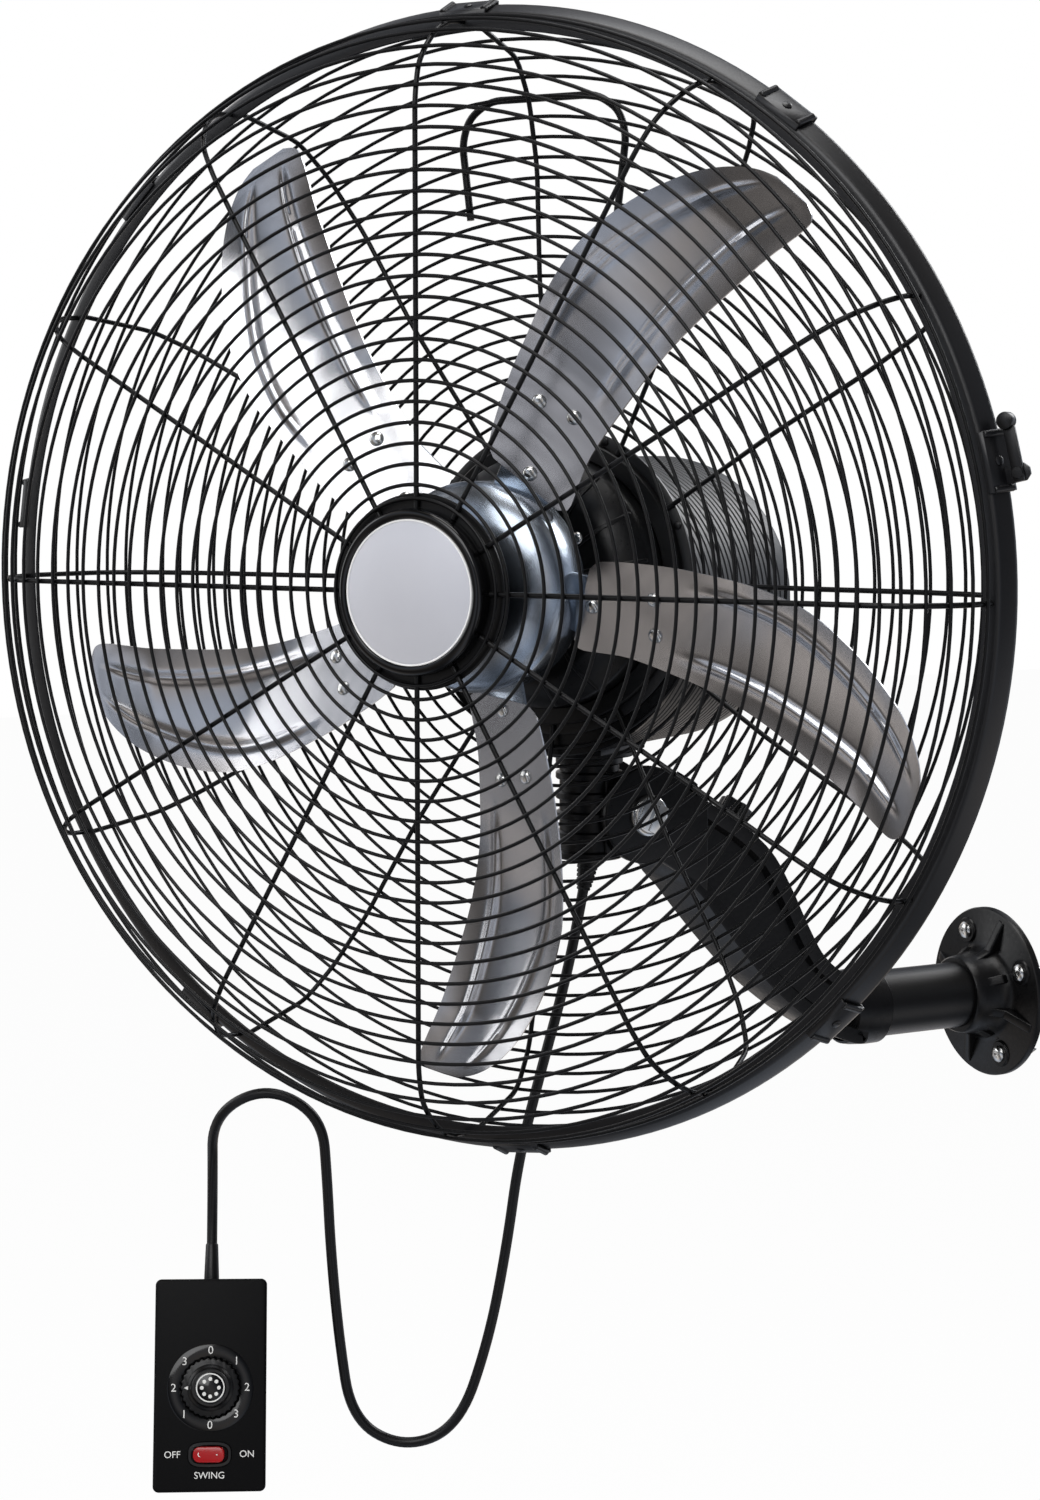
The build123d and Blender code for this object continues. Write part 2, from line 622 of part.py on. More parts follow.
with BuildPart() as stator_core:
    with BuildSketch(SHELL.offset(-CORE_REAR)):
        RegularPolygon(SHELL_BORE - EASE, 36)
    extrude(amount=CORE_LEN)
    with BuildSketch(HEAD.offset(-280)):
        RegularPolygon(47, 24)
    extrude(amount=100, mode=Mode.SUBTRACT)
stator_core.part.label = "stator_core"
export_step(stator_core.part, "parts/stator_core.step")

with BuildPart() as stator_windings:
    for t in (-CORE_REAR - 14.05, -CORE_REAR + CORE_LEN + 0.05):
        with BuildSketch(HEAD.offset(t)):
            RegularPolygon(66, 16)
            RegularPolygon(48, 16, mode=Mode.SUBTRACT)
        extrude(amount=14)
stator_windings.part.label = "stator_windings"
export_step(stator_windings.part, "parts/stator_windings.step")

with BuildPart() as bearings:
    for t in (-142.0, SHELL_REAR + 3.0):
        with BuildSketch(HEAD.offset(t)):
            RegularPolygon(13, 16)
            RegularPolygon(SHAFT_R + 0.3, 12, mode=Mode.SUBTRACT)
        extrude(amount=5 if t > -200 else 8)
bearings.part.label = "bearings"
export_step(bearings.part, "parts/bearings.step")

# ---------------------------------------------------------------- rotor
HUB = [(SHAFT_R + EASE, -49.5), (34, -49.5), (54, -54), (64, -63), (64, -91), (22, -95), (16, -110),
       (SHAFT_R + EASE, -110)]
ARM_TURN = 16.3
hub_turned = turned(HUB, 32)
with BuildPart() as hub_spider:
    add(hub_turned)
    for k in range(BLADES):
        a = math.radians(BLADE_TIP + 72 * k + ARM_TURN)
        radial = RIGHT * math.cos(a) + Vector(0, 0, 1) * math.sin(a)
        across = Vector(0, 0, 1) * math.cos(a) - RIGHT * math.sin(a)
        normal = (FWD - across * BLADE_PITCH).normalized()
        seat = HEAD_AT + FWD * (BLADE_MID - BLADE_T / 2) + radial * 92
        with BuildSketch(Plane(origin=seat, x_dir=radial, z_dir=normal)):
            Rectangle(84, 38)
        extrude(amount=-3)
hub_spider.part.label = "hub_spider"
export_step(hub_spider.part, "parts/hub_spider.step")

# Blade outline seen from the front: distance along the tip line, then the trailing
# and the leading edge across it. Between the stations the pressed panel is kept flat.
STATIONS = [
    (66, -4.0, 43.0), (72, -8.5, 51.5), (100, 0.5, 62.0), (134, 4.6, 72.2), (165, 6.2, 79.4),
    (198, 4.0, 82.0), (232, -1.8, 75.0), (262, -8.0, 62.0), (284, -14.5, 46.0), (298, -17.5, 30.0),
    (305, -10.0, 14.0),
]


def blade_section(x, low, high):
    """Closed outline of the blade across its tip line at one station."""
    mid, half = (low + high) / 2, (high - low) / 2
    root = max(0.0, min(1.0, (165 - x) / 31))
    c = math.cos(math.radians(ARM_TURN))
    outward = (x - 180) / 120
    slope = BLADE_PITCH * c * root + (0.35 - 0.11 * outward - 0.10 * outward ** 2) * (1 - root)
    centre = x * math.tan(math.radians(ARM_TURN))
    base = BLADE_MID + (mid - centre) * BLADE_PITCH * c * root
    reach = max(0.0, min(1.0, (x - 134) / 60)) * min(1.0, max(0.0, (305 - x) / 40))
    rib = 2.2 * max(0.0, min(1.0, (x - 134) / 30)) * min(1.0, max(0.0, (298 - x) / 20))
    line = []
    for f, lift in ((-1, 0), (-0.72, 0), (-0.60, 1), (-0.48, 0), (0.0, 0), (0.52, 0), (0.64, 1),
                    (0.76, 0), (1, 0)):
        y = mid + f * half
        t = base + slope * f * half - 6.0 * reach * (1 - f * f) + rib * lift
        line.append((y, t))
    front = [(y, t + BLADE_T / 2) for y, t in line]
    back = [(y, t - BLADE_T / 2) for y, t in reversed(line)]
    return front + back


with BuildPart() as blades:
    for k in range(BLADES):
        a = math.radians(BLADE_TIP + 72 * k)
        along = RIGHT * math.cos(a) + Vector(0, 0, 1) * math.sin(a)
        across = Vector(0, 0, 1) * math.cos(a) - RIGHT * math.sin(a)
        rings = []
        for x, low, high in STATIONS:
            rings.append([HEAD_AT + along * x + across * y + FWD * t for y, t in blade_section(x, low, high)])
        faces = []
        count = len(rings[0])
        for a_ring, b_ring in zip(rings, rings[1:]):
            for m in range(count):
                n = (m + 1) % count
                faces.append(Face(Wire.make_polygon([a_ring[m], a_ring[n], b_ring[n]], close=True)))
                faces.append(Face(Wire.make_polygon([a_ring[m], b_ring[n], b_ring[m]], close=True)))
        for ring in (rings[0], rings[-1]):
            for m in range(count // 2 - 1):
                quad = [ring[m], ring[m + 1], ring[count - 2 - m], ring[count - 1 - m]]
                faces.append(Face(Wire.make_polygon(quad, close=True)))
        shell = Shell(faces)
        solid = Solid(shell)
        add(solid if solid.volume > 0 else Solid(solid.wrapped.Reversed()))
blades.part.label = "blades"
export_step(blades.part, "parts/blades.step")

with BuildPart() as blade_rivets:
    for k in range(BLADES):
        a = math.radians(BLADE_TIP + 72 * k + ARM_TURN)
        radial = RIGHT * math.cos(a) + Vector(0, 0, 1) * math.sin(a)
        across = Vector(0, 0, 1) * math.cos(a) - RIGHT * math.sin(a)
        normal = (FWD - across * BLADE_PITCH).normalized()
        seat = HEAD_AT + FWD * (BLADE_MID + BLADE_T / 2) + radial * 96
        with BuildSketch(Plane(origin=seat, x_dir=radial, z_dir=normal)):
            with Locations((-20, 0), (22, -11.5), (22, 11.5)):
                RegularPolygon(4.2, 6)
        extrude(amount=1.8, taper=20)
blade_rivets.part.label = "blade_rivets"
export_step(blade_rivets.part, "parts/blade_rivets.step")

with BuildPart() as rotor_shaft:
    with BuildSketch(HEAD.offset(SHELL_REAR - 12)):
        Circle(SHAFT_R)
    extrude(amount=-(SHELL_REAR - 12) - 38)
rotor_shaft.part.label = "rotor_shaft"
export_step(rotor_shaft.part, "parts/rotor_shaft.step")

with BuildPart() as rotor_core:
    with BuildSketch(HEAD.offset(-CORE_REAR)):
        RegularPolygon(45, 24)
        RegularPolygon(SHAFT_R + 0.3, 12, mode=Mode.SUBTRACT)
    extrude(amount=CORE_LEN)
rotor_core.part.label = "rotor_core"
export_step(rotor_core.part, "parts/rotor_core.step")

with BuildPart() as hub_nut:
    with BuildSketch(HEAD.offset(-49.5)):
        RegularPolygon(11, 6)
        RegularPolygon(SHAFT_R + 0.3, 12, mode=Mode.SUBTRACT)
    extrude(amount=9)
hub_nut.part.label = "hub_nut"
export_step(hub_nut.part, "parts/hub_nut.step")

# ---------------------------------------------------------------- cage
RIM_FRONT, RIM_REAR, RIM_R = -56.0, -69.0, 343.8
FRONT_LINE = [(49.4, 0), (284.7, 0), (304, -4), (315, -12), (326, -24), (333, -38), (335, RIM_FRONT + 0.4)]
REAR_LINE = [(91.9, -167.3), (99, -167.3), (184, -150.7), (256, -147.1), (296, -137), (321, -121), (333, -81),
             (337.2, -66), (336.7, -60)]

def spoke_set(line, depth):
    """Twelve equal flat-bent spokes on a guard's line."""
    with BuildPart() as one:
        with BuildSketch(HEAD_RT):
            with BuildLine():
                Polyline(*line, *reversed(inner_line(line, depth)), close=True)
            make_face()
        extrude(amount=SPOKE_W / 2, both=True)
    with BuildPart() as all_spokes:
        for k in range(SPOKES):
            add(one.part.rotate(HEAD_AXIS, 360 / SPOKES * k))
    return all_spokes.part


def ring_set(line, radii, out, sides):
    """Guard rings at these radii, each with its own number of flats."""
    with BuildPart() as rings:
        for radius in radii:
            add(ring_wire(line, radius, out, sides(radius)))
    return rings.part


FRONT_RINGS = [54.7] + [62.7 + RING_PITCH * k for k in range(20)]
FRONT_SIDE_RINGS = [302.0, 313.0, 323.0, 330.5, 333.9]
REAR_RINGS = [106.0 + RING_PITCH * k for k in range(16)]
REAR_SIDE_RINGS = [297.5, 308.5, 319.0, 327.0, 332.0]
cage_wires = {
    "front_spokes": spoke_set(FRONT_LINE, SPOKE_W),
    "front_rings": ring_set(FRONT_LINE, FRONT_RINGS, 1, lambda radius: 16 if radius < 150 else 20 if radius < 280 else 24),
    "front_side_rings": ring_set(FRONT_LINE, FRONT_SIDE_RINGS, 1, lambda radius: 24),
    "rear_spokes": spoke_set(REAR_LINE, -SPOKE_W),
    "rear_rings": ring_set(REAR_LINE, REAR_RINGS, -1, lambda radius: 24),
    "rear_side_rings": ring_set(REAR_LINE, REAR_SIDE_RINGS, -1, lambda radius: 24),
}
for name, wires in cage_wires.items():
    wires.label = name
    export_step(wires, f"parts/{name}.step")

guard_plate_outline = [(COVER_R + EASE, -170.5), (98, -170.5), (98, -167.4), (91.2, -167.4), (91.2, -162),
                       (COVER_R + EASE, -162)]
with BuildPart() as guard_ring:
    add(turned(guard_plate_outline))
guard_ring.part.label = "guard_ring"
export_step(guard_ring.part, "parts/guard_ring.step")

with BuildPart() as rim_band:
    add(turned([(327.5, RIM_FRONT), (337, RIM_FRONT), (RIM_R, RIM_REAR), (RIM_R - 1.7, RIM_REAR),
                (335.8, RIM_FRONT - 1.8), (327.5, RIM_FRONT - 1.8)], 48))
rim_band.part.label = "rim_band"
export_step(rim_band.part, "parts/rim_band.step")

CLIP_ANGLES = [90, 53, -45, -84, -126, 172, 135]
LATCH_ANGLE = 13.0
CLIP_LINE = [(335.6, -54.6), (339, -54.6), (346.2, -68.6), (346.2, -71.8), (339.4, -71.8), (339.4, -70.4),
             (344.8, -70.4), (344.8, -69), (338.2, -56), (335.6, -56)]


def clip_at(angle, line, half):
    """One pressed clip over the rim, placed at an angle round the cage."""
    with BuildPart() as clip:
        with BuildSketch(HEAD_RT):
            with BuildLine():
                Polyline(*line, close=True)
            make_face()
        extrude(amount=half, both=True)
    return clip.part.rotate(HEAD_AXIS, angle)


with BuildPart() as rim_clips:
    for angle in CLIP_ANGLES:
        add(clip_at(angle, CLIP_LINE, 15.5))
rim_clips.part.label = "rim_clips"
export_step(rim_clips.part, "parts/rim_clips.step")

EAR_LINE = [(346.2, -60.6), (357, -60.6), (357, -59.2), (346.2, -59.2)]
with BuildPart() as latch_plate:
    add(clip_at(LATCH_ANGLE, CLIP_LINE, 17))
    latch_at = math.radians(LATCH_ANGLE - 2.2)
    pin_dir = RIGHT * math.cos(latch_at) + Vector(0, 0, 1) * math.sin(latch_at)
    with BuildSketch(HEAD.offset(-66.5)):
        with Locations(polar(351, LATCH_ANGLE - 1.4)):
            Rectangle(14, 10, rotation=LATCH_ANGLE)
    extrude(amount=2.4)
    with BuildSketch(HEAD.offset(-80)):
        with Locations(polar(352, LATCH_ANGLE - 1.4)):
            Circle(2 + RUN)
    extrude(amount=40, mode=Mode.SUBTRACT)
latch_plate.part.label = "latch_plate"
export_step(latch_plate.part, "parts/latch_plate.step")

LATCH_PIN = polar(352, LATCH_ANGLE - 1.4)
with BuildPart() as latch_lever:
    with BuildSketch(HEAD.offset(-64.1 + GAP)):
        with BuildLine():
            Polyline(polar(348.8, LATCH_ANGLE - 2.2), polar(355.5, LATCH_ANGLE - 2.2),
                     polar(355.5, LATCH_ANGLE + 4.4), polar(348.8, LATCH_ANGLE + 4.4), close=True)
        make_face()
    extrude(amount=3)
    with BuildSketch(HEAD.offset(-69)):
        with Locations(LATCH_PIN):
            RegularPolygon(2, 10)
    extrude(amount=6.5)
    with BuildSketch(HEAD.offset(-66)):
        with Locations(polar(353, LATCH_ANGLE + 5.0)):
            RegularPolygon(5.5, 10)
    extrude(amount=8)
latch_lever.part.label = "latch_lever"
export_step(latch_lever.part, "parts/latch_lever.step")

with BuildPart() as badge_bezel:
    add(turned([(0, -3.2), (BADGE_R, -3.2), (BADGE_R, 6.5), (47.4, 8.4), (43.2, 8.4), (43.2, 6), (0, 6)], 40))
badge_bezel.part.label = "badge_bezel"
export_step(badge_bezel.part, "parts/badge_bezel.step")

with BuildPart() as badge_disc:
    with BuildSketch(HEAD.offset(6)):
        RegularPolygon(42.9, 40)
    extrude(amount=2)
badge_disc.part.label = "badge_disc"
export_step(badge_disc.part, "parts/badge_disc.step")

with BuildPart() as badge_backplate:
    with BuildSketch(HEAD.offset(-5.4)):
        RegularPolygon(58, 32)
    extrude(amount=2.2)
    with BuildSketch(HEAD.offset(-8)):
        RegularPolygon(48, 32)
    extrude(amount=2.6)
badge_backplate.part.label = "badge_backplate"
export_step(badge_backplate.part, "parts/badge_backplate.step")

HANDLE_T = -153.0
with BuildPart() as carry_handle:
    with BuildLine(HEAD.offset(HANDLE_T)):
        handle_path = Polyline((-52, 226), (-58, 274), (-53, 289), (-38, 299), (38, 299), (53, 289), (58, 274),
                               (52, 226))
    with BuildSketch(Plane(origin=handle_path @ 0, z_dir=handle_path % 0)):
        RegularPolygon(2.5, 8, rotation=22.5)
    sweep(path=handle_path, transition=Transition.RIGHT)
carry_handle.part.label = "carry_handle"
export_step(carry_handle.part, "parts/carry_handle.step")
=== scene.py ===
"""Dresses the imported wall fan: cage, crescent blades, motor, curved arm and the corded control box."""

import logging
import math
from dataclasses import dataclass, field
from enum import Enum
from typing import Iterable, Optional, Sequence

import bmesh
import bpy
from mathutils import Matrix, Vector


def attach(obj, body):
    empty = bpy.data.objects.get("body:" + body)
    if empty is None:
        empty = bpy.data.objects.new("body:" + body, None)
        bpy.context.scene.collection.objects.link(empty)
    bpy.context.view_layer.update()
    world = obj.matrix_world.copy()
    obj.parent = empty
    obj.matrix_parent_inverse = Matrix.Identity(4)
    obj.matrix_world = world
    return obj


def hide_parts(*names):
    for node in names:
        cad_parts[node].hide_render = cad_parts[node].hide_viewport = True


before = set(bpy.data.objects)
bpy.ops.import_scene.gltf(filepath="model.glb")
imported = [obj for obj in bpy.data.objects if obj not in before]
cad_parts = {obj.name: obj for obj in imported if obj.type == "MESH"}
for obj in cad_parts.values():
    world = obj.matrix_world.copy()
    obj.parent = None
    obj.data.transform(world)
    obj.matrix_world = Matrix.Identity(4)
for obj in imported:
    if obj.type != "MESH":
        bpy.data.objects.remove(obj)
log = logging.getLogger("wall_fan")
MM = 0.001
Outline = Sequence[tuple[float, float]]


# ---------------------------------------------------------------- places
@dataclass(frozen=True)
class Place:
    """A local frame of the fan, in millimetres: right, up and out of the face."""

    origin: tuple[float, float, float]
    right: tuple[float, float, float]
    out: tuple[float, float, float]

    def matrix(self) -> Matrix:
        """The matrix from this frame's millimetres to metres of the part's frame.

        Returns:
            A matrix that turns, moves and scales.
        """
        out = Vector(self.out).normalized()
        right = Vector(self.right).normalized()
        up = out.cross(right)
        turn = Matrix((right, up, out)).transposed().to_4x4()
        return Matrix.Scale(MM, 4) @ Matrix.Translation(Vector(self.origin)) @ turn

    def moved(self, x: float = 0.0, y: float = 0.0, z: float = 0.0) -> "Place":
        """The same frame with its origin moved along its own axes."""
        at = self.matrix() @ Vector((x, y, z)) / MM
        return Place(tuple(at), self.right, self.out)


YAW = math.radians(31.94)   # how far the head is turned off the wall's normal
SWING_Y = -331.4            # the upright swing axis, seen from above
TILT_Y, TILT_Z = -304.3, 148.2   # the cross bolt's axis, seen from the side
HEAD_REACH = 215.8          # from the swing axis to the cage's face
HEAD_Z = 301.9              # height of the rotor's axis
SHELL_DROP = 17.0           # how far the motor's axis lies below the rotor's
FWD = (math.sin(YAW), -math.cos(YAW), 0.0)
SIDEWAYS = (math.cos(YAW), math.sin(YAW), 0.0)
HEAD_AT = (HEAD_REACH * FWD[0], SWING_Y + HEAD_REACH * FWD[1], HEAD_Z)
WALL = Place((0, 0, 0), (1, 0, 0), (0, -1, 0))
HEAD = Place(HEAD_AT, SIDEWAYS, FWD)
SHELL = Place((HEAD_AT[0], HEAD_AT[1], HEAD_AT[2] - SHELL_DROP), SIDEWAYS, FWD)
SIDE = Place((0, 0, 0), (0, 1, 0), (1, 0, 0))
PAN = Place((0, SWING_Y, 0), SIDEWAYS, (0, 0, 1))
CLAMP = Place((0, -226, 133.6), (1, 0, 0), (0, 0.583, 0.812))


def box_place() -> Place:
    """The control box's frame: x right, y up along the box, z out of its face.

    Returns:
        The place at the middle of the box.
    """
    turn, lean, roll = (math.radians(v) for v in (67.6, 18.5, -1.3))
    level = math.cos(lean)
    out = Vector((math.sin(turn) * level, -math.cos(turn) * level, math.sin(lean)))
    right = Vector((math.cos(turn), math.sin(turn), 0))
    up = out.cross(right)
    across = right * math.cos(roll) + up * math.sin(roll)
    return Place((-120.4, -552.8, -237.0), tuple(across), tuple(out))


BOX = box_place()


def polar(radius: float, degrees: float) -> tuple[float, float]:
    """A point at a radius and an angle."""
    return radius * math.cos(math.radians(degrees)), radius * math.sin(math.radians(degrees))


# ---------------------------------------------------------------- finishes
def linear(hex_colour: str) -> tuple[float, float, float, float]:
    """An sRGB hex colour as linear red, green, blue and alpha."""
    parts = [int(hex_colour[i:i + 2], 16) / 255 for i in (1, 3, 5)]
    return (*[c / 12.92 if c <= 0.04045 else ((c + 0.055) / 1.055) ** 2.4 for c in parts], 1.0)


def node(tree: bpy.types.NodeTree, kind: str, inputs: Optional[dict] = None,
         **settings: object) -> bpy.types.Node:
    """Adds one shader node.

    Args:
        tree: The node tree it goes into.
        kind: The node's type name.
        inputs: Socket names or numbers, each with a value or the socket that feeds it.
        settings: Properties of the node itself.

    Returns:
        The new node.
    """
    made = tree.nodes.new(kind)
    for key, value in settings.items():
        setattr(made, key, value)
    for key, value in (inputs or {}).items():
        if isinstance(value, bpy.types.NodeSocket):
            tree.links.new(value, made.inputs[key])
        else:
            made.inputs[key].default_value = value
    return made


ROLL_STRETCH = 0.035   # rolling lines run about thirty times longer than they are wide


class Grain(Enum):
    """How a surface is broken up close to."""

    SMOOTH = "smooth"
    PEEL = "orange peel of a powder coat"
    CAST = "sand-cast lumps under paint"
    SPARK = "spark-eroded mould texture"
    ROLLED = "long rolling lines of sheet metal"


@dataclass(frozen=True)
class Finish:
    """One real finish: its common name, how it was made, and its pattern sizes in millimetres."""

    name: str
    common: str
    made: str
    colour: str
    worn: str
    roughness: tuple[float, float]
    metallic: float = 0.0
    specular: float = 0.5
    blotch_mm: float = 40.0
    grain: Grain = Grain.SMOOTH
    # Spark texture, casting lumps and rolling lines are finer than this in life; each is drawn
    # as coarse as it needs to be to show.
    grain_mm: float = 1.0
    height_mm: float = 0.02
    coat: float = 0.0

    def pattern(self, tree: bpy.types.NodeTree,
                coords: bpy.types.NodeSocket) -> bpy.types.NodeSocket:
        """The height pattern of this finish's grain.

        Args:
            tree: The node tree it goes into.
            coords: The socket with the piece's own coordinates.

        Returns:
            The socket that gives the height, from 0 to 1.
        """
        scale = 1.0 / (self.grain_mm * MM)
        if self.grain is Grain.ROLLED:
            stretch = node(tree, "ShaderNodeMapping",
                           {"Vector": coords, "Scale": (1.0, 1.0, ROLL_STRETCH)})
            lines = node(tree, "ShaderNodeTexNoise", {"Vector": stretch.outputs[0], "Scale": scale,
                                                      "Detail": 3.0, "Roughness": 0.6})
            return lines.outputs["Fac"]
        if self.grain is Grain.CAST:
            lumps = node(tree, "ShaderNodeTexVoronoi", {"Vector": coords, "Scale": scale},
                         feature="SMOOTH_F1")
            return lumps.outputs["Distance"]
        detail = {Grain.SMOOTH: 1.0, Grain.PEEL: 0.5, Grain.SPARK: 4.0}[self.grain]
        fine = node(tree, "ShaderNodeTexNoise", {"Vector": coords, "Scale": scale, "Detail": detail})
        return fine.outputs["Fac"]

    def make(self) -> bpy.types.Material:
        """The material of this finish, made once and then shared.

        Returns:
            The finished material.
        """
        found = bpy.data.materials.get(self.name)
        if found:
            return found
        material = bpy.data.materials.new(self.name)
        material.use_nodes = True
        tree = material.node_tree
        tree.nodes.clear()
        coords = node(tree, "ShaderNodeTexCoord").outputs["Object"]
        blotch = node(tree, "ShaderNodeTexNoise", {"Vector": coords, "Scale": 1.0 / (self.blotch_mm * MM),
                                                   "Detail": 3.0})
        height = self.pattern(tree, coords)
        blend = node(tree, "ShaderNodeMix", {0: blotch.outputs["Fac"], 6: linear(self.colour),
                                             7: linear(self.worn)}, data_type="RGBA")
        rough = node(tree, "ShaderNodeMapRange", {"Value": height, "To Min": self.roughness[0],
                                                  "To Max": self.roughness[1]})
        bump = node(tree, "ShaderNodeBump", {"Height": height, "Strength": 1.0,
                                             "Distance": self.height_mm * MM})
        skin = node(tree, "ShaderNodeBsdfPrincipled",
                    {"Base Color": blend.outputs[2], "Roughness": rough.outputs[0], "Normal": bump.outputs[0],
                     "Metallic": self.metallic, "Coat Weight": self.coat, "Coat Roughness": 0.12})
        skin.inputs["Specular IOR Level"].default_value = self.specular
        node(tree, "ShaderNodeOutputMaterial", {"Surface": skin.outputs[0]})
        return material


# Baked enamel over bent wire: black, with a thin streak of light along each wire.
WIRE_ENAMEL = Finish("baked_enamel_on_wire", "powder coat", "dipped and baked", "#050506",
                     "#080809", (0.3, 0.42), specular=0.22, grain=Grain.PEEL, grain_mm=1.4, height_mm=0.02)
# The rim is roll-formed strip with the same coat, a little paler and glossier on its flat face.
BAND_ENAMEL = Finish("baked_enamel_on_strip", "powder coat", "sprayed and baked", "#09090b",
                     "#0e0e11", (0.3, 0.4), specular=0.42, grain=Grain.PEEL, grain_mm=1.1, height_mm=0.015)
# Sand-cast aluminium under paint keeps its lumps, so the light on it breaks up.
CAST_PAINT = Finish("satin_paint_on_casting", "painted aluminium casting", "sand cast and sprayed", "#050506",
                    "#0a0a0b", (0.26, 0.4), specular=0.24, grain=Grain.CAST, grain_mm=3.2, height_mm=0.06,
                    blotch_mm=18)
# Drawn tube and shell take the paint smoothly and shine along their length.
SHELL_PAINT = Finish("gloss_paint_on_steel", "painted steel", "drawn and sprayed", "#070708", "#0b0b0c",
                     (0.3, 0.4), specular=0.32, grain=Grain.PEEL, grain_mm=1.6, height_mm=0.015)
# The drawn motor shell is duller than the tube, so light spreads round it in one broad gradient.
MOTOR_PAINT = Finish("satin_paint_on_drawn_shell", "painted steel", "drawn and sprayed", "#0e0e0f", "#131315",
                     (0.42, 0.5), specular=0.5, grain=Grain.PEEL, grain_mm=1.6, height_mm=0.01)
# Half-hard rolled sheet: a grey mirror that drags the highlights into long streaks.
ROLLED_ALUMINIUM = Finish("rolled_aluminium_sheet", "aluminium", "rolled and pressed", "#b9b9bb", "#a3a3a6",
                          (0.15, 0.21), metallic=1.0, grain=Grain.ROLLED, grain_mm=2.6, height_mm=0.0012,
                          blotch_mm=60)
# The hub is the same metal spun to a dome, a little bluer.
SPUN_ALUMINIUM = Finish("spun_aluminium", "aluminium", "spun", "#a9b2bd", "#98a1ac",
                        (0.2, 0.26), metallic=1.0, grain=Grain.PEEL, grain_mm=6.0, height_mm=0.002)
# Plated fasteners mirror the room, with a slight haze.
ZINC_PLATE = Finish("bright_zinc_plate", "zinc-plated steel", "plated", "#cfcfcd", "#b9b9b7", (0.12, 0.24),
                    metallic=1.0, grain=Grain.PEEL, grain_mm=0.8, height_mm=0.01, blotch_mm=8)
# Bare turned steel is a dull grey: the shaft, the cores and the screws in the box's back.
TURNED_STEEL = Finish("turned_steel", "mild steel", "turned", "#8d8f92", "#77797c", (0.3, 0.42), metallic=1.0,
                      grain=Grain.PEEL, grain_mm=0.6, height_mm=0.01)
# Varnished copper, a dull brown, is hidden in the motor.
WINDING_COPPER = Finish("varnished_copper", "enamelled copper wire", "wound and dipped", "#9a5a34", "#7a4426",
                        (0.3, 0.45), metallic=1.0, grain=Grain.ROLLED, grain_mm=1.0, height_mm=0.1)
# Moulded ABS with a fine spark texture: a blue-black face that only its rims light up.
BOX_ABS = Finish("textured_abs", "ABS", "moulded in a spark-eroded tool", "#030304", "#050506", (0.4, 0.5),
                 specular=0.1, grain=Grain.SPARK, grain_mm=0.9, height_mm=0.02, blotch_mm=35)
# The knobs and the latch are the same plastic from a smoother tool.
KNOB_ABS = Finish("satin_abs", "ABS", "moulded", "#070708", "#0b0b0c", (0.28, 0.4), specular=0.3,
                  grain=Grain.SPARK, grain_mm=0.7, height_mm=0.02, blotch_mm=12)
# A polished tool leaves the bezel, the dial ring, the knob's cap and the rocker's frame glossy.
GLOSS_ABS = Finish("gloss_black_abs", "ABS", "moulded in a polished tool", "#040405", "#070708", (0.07, 0.13),
                   specular=0.3, grain=Grain.SMOOTH, grain_mm=6, height_mm=0.01, coat=0.1)
# The rocker's red goes right through the plastic and shines a little less than the bezel.
RED_ABS = Finish("gloss_red_abs", "ABS", "moulded in a polished tool", "#b00d12", "#8e0a0f", (0.12, 0.2),
                 grain=Grain.SMOOTH, grain_mm=5, height_mm=0.01, blotch_mm=9)
# The disc is silver lacquer over spun metal: pale lavender grey, brighter to one side.
DISC_LACQUER = Finish("silver_lacquer", "lacquered aluminium", "sprayed", "#c6c7ce", "#bfc0c8", (0.36, 0.44),
                      metallic=0.2, grain=Grain.PEEL, grain_mm=0.7, height_mm=0.004, blotch_mm=30)
# The disc's edge is plain matt white: a thin ring painted white as a painted highlight, standing for the light
# that the disc's rim catches.
HIGHLIGHT_RING_WHITE = Finish("painted_highlight_ring", "lacquer", "printed", "#efefef", "#e4e4e4", (0.3, 0.4), grain=Grain.PEEL,
                   grain_mm=0.8, height_mm=0.004, blotch_mm=10)
# Printed ink is a duller, slightly greyer white.
PRINT_WHITE = Finish("white_pad_print", "pad-printing ink", "printed", "#ececea", "#dededc", (0.4, 0.5),
                     grain=Grain.SPARK, grain_mm=0.4, height_mm=0.01, blotch_mm=6)
# Soft sheath with a faint sheen along its length.
CORD_PVC = Finish("pvc_sheath", "plasticised PVC", "extruded", "#060607", "#0a0a0b", (0.3, 0.42),
                  specular=0.28, grain=Grain.PEEL, grain_mm=2.5, height_mm=0.03, blotch_mm=25)


# ---------------------------------------------------------------- mesh bench
def ease(bm: bmesh.types.BMesh, edges: Iterable[bmesh.types.BMEdge], offset: float,
         segments: int) -> None:
    """Rounds edges of a mesh.

    Args:
        bm: The mesh.
        edges: The edges to round.
        offset: Size of the rounding.
        segments: Steps of the rounding.
    """
    bmesh.ops.bevel(bm, geom=list(edges), offset=offset, offset_type="OFFSET", segments=segments,
                    profile=0.5, affect="EDGES", clamp_overlap=True, material=-1)


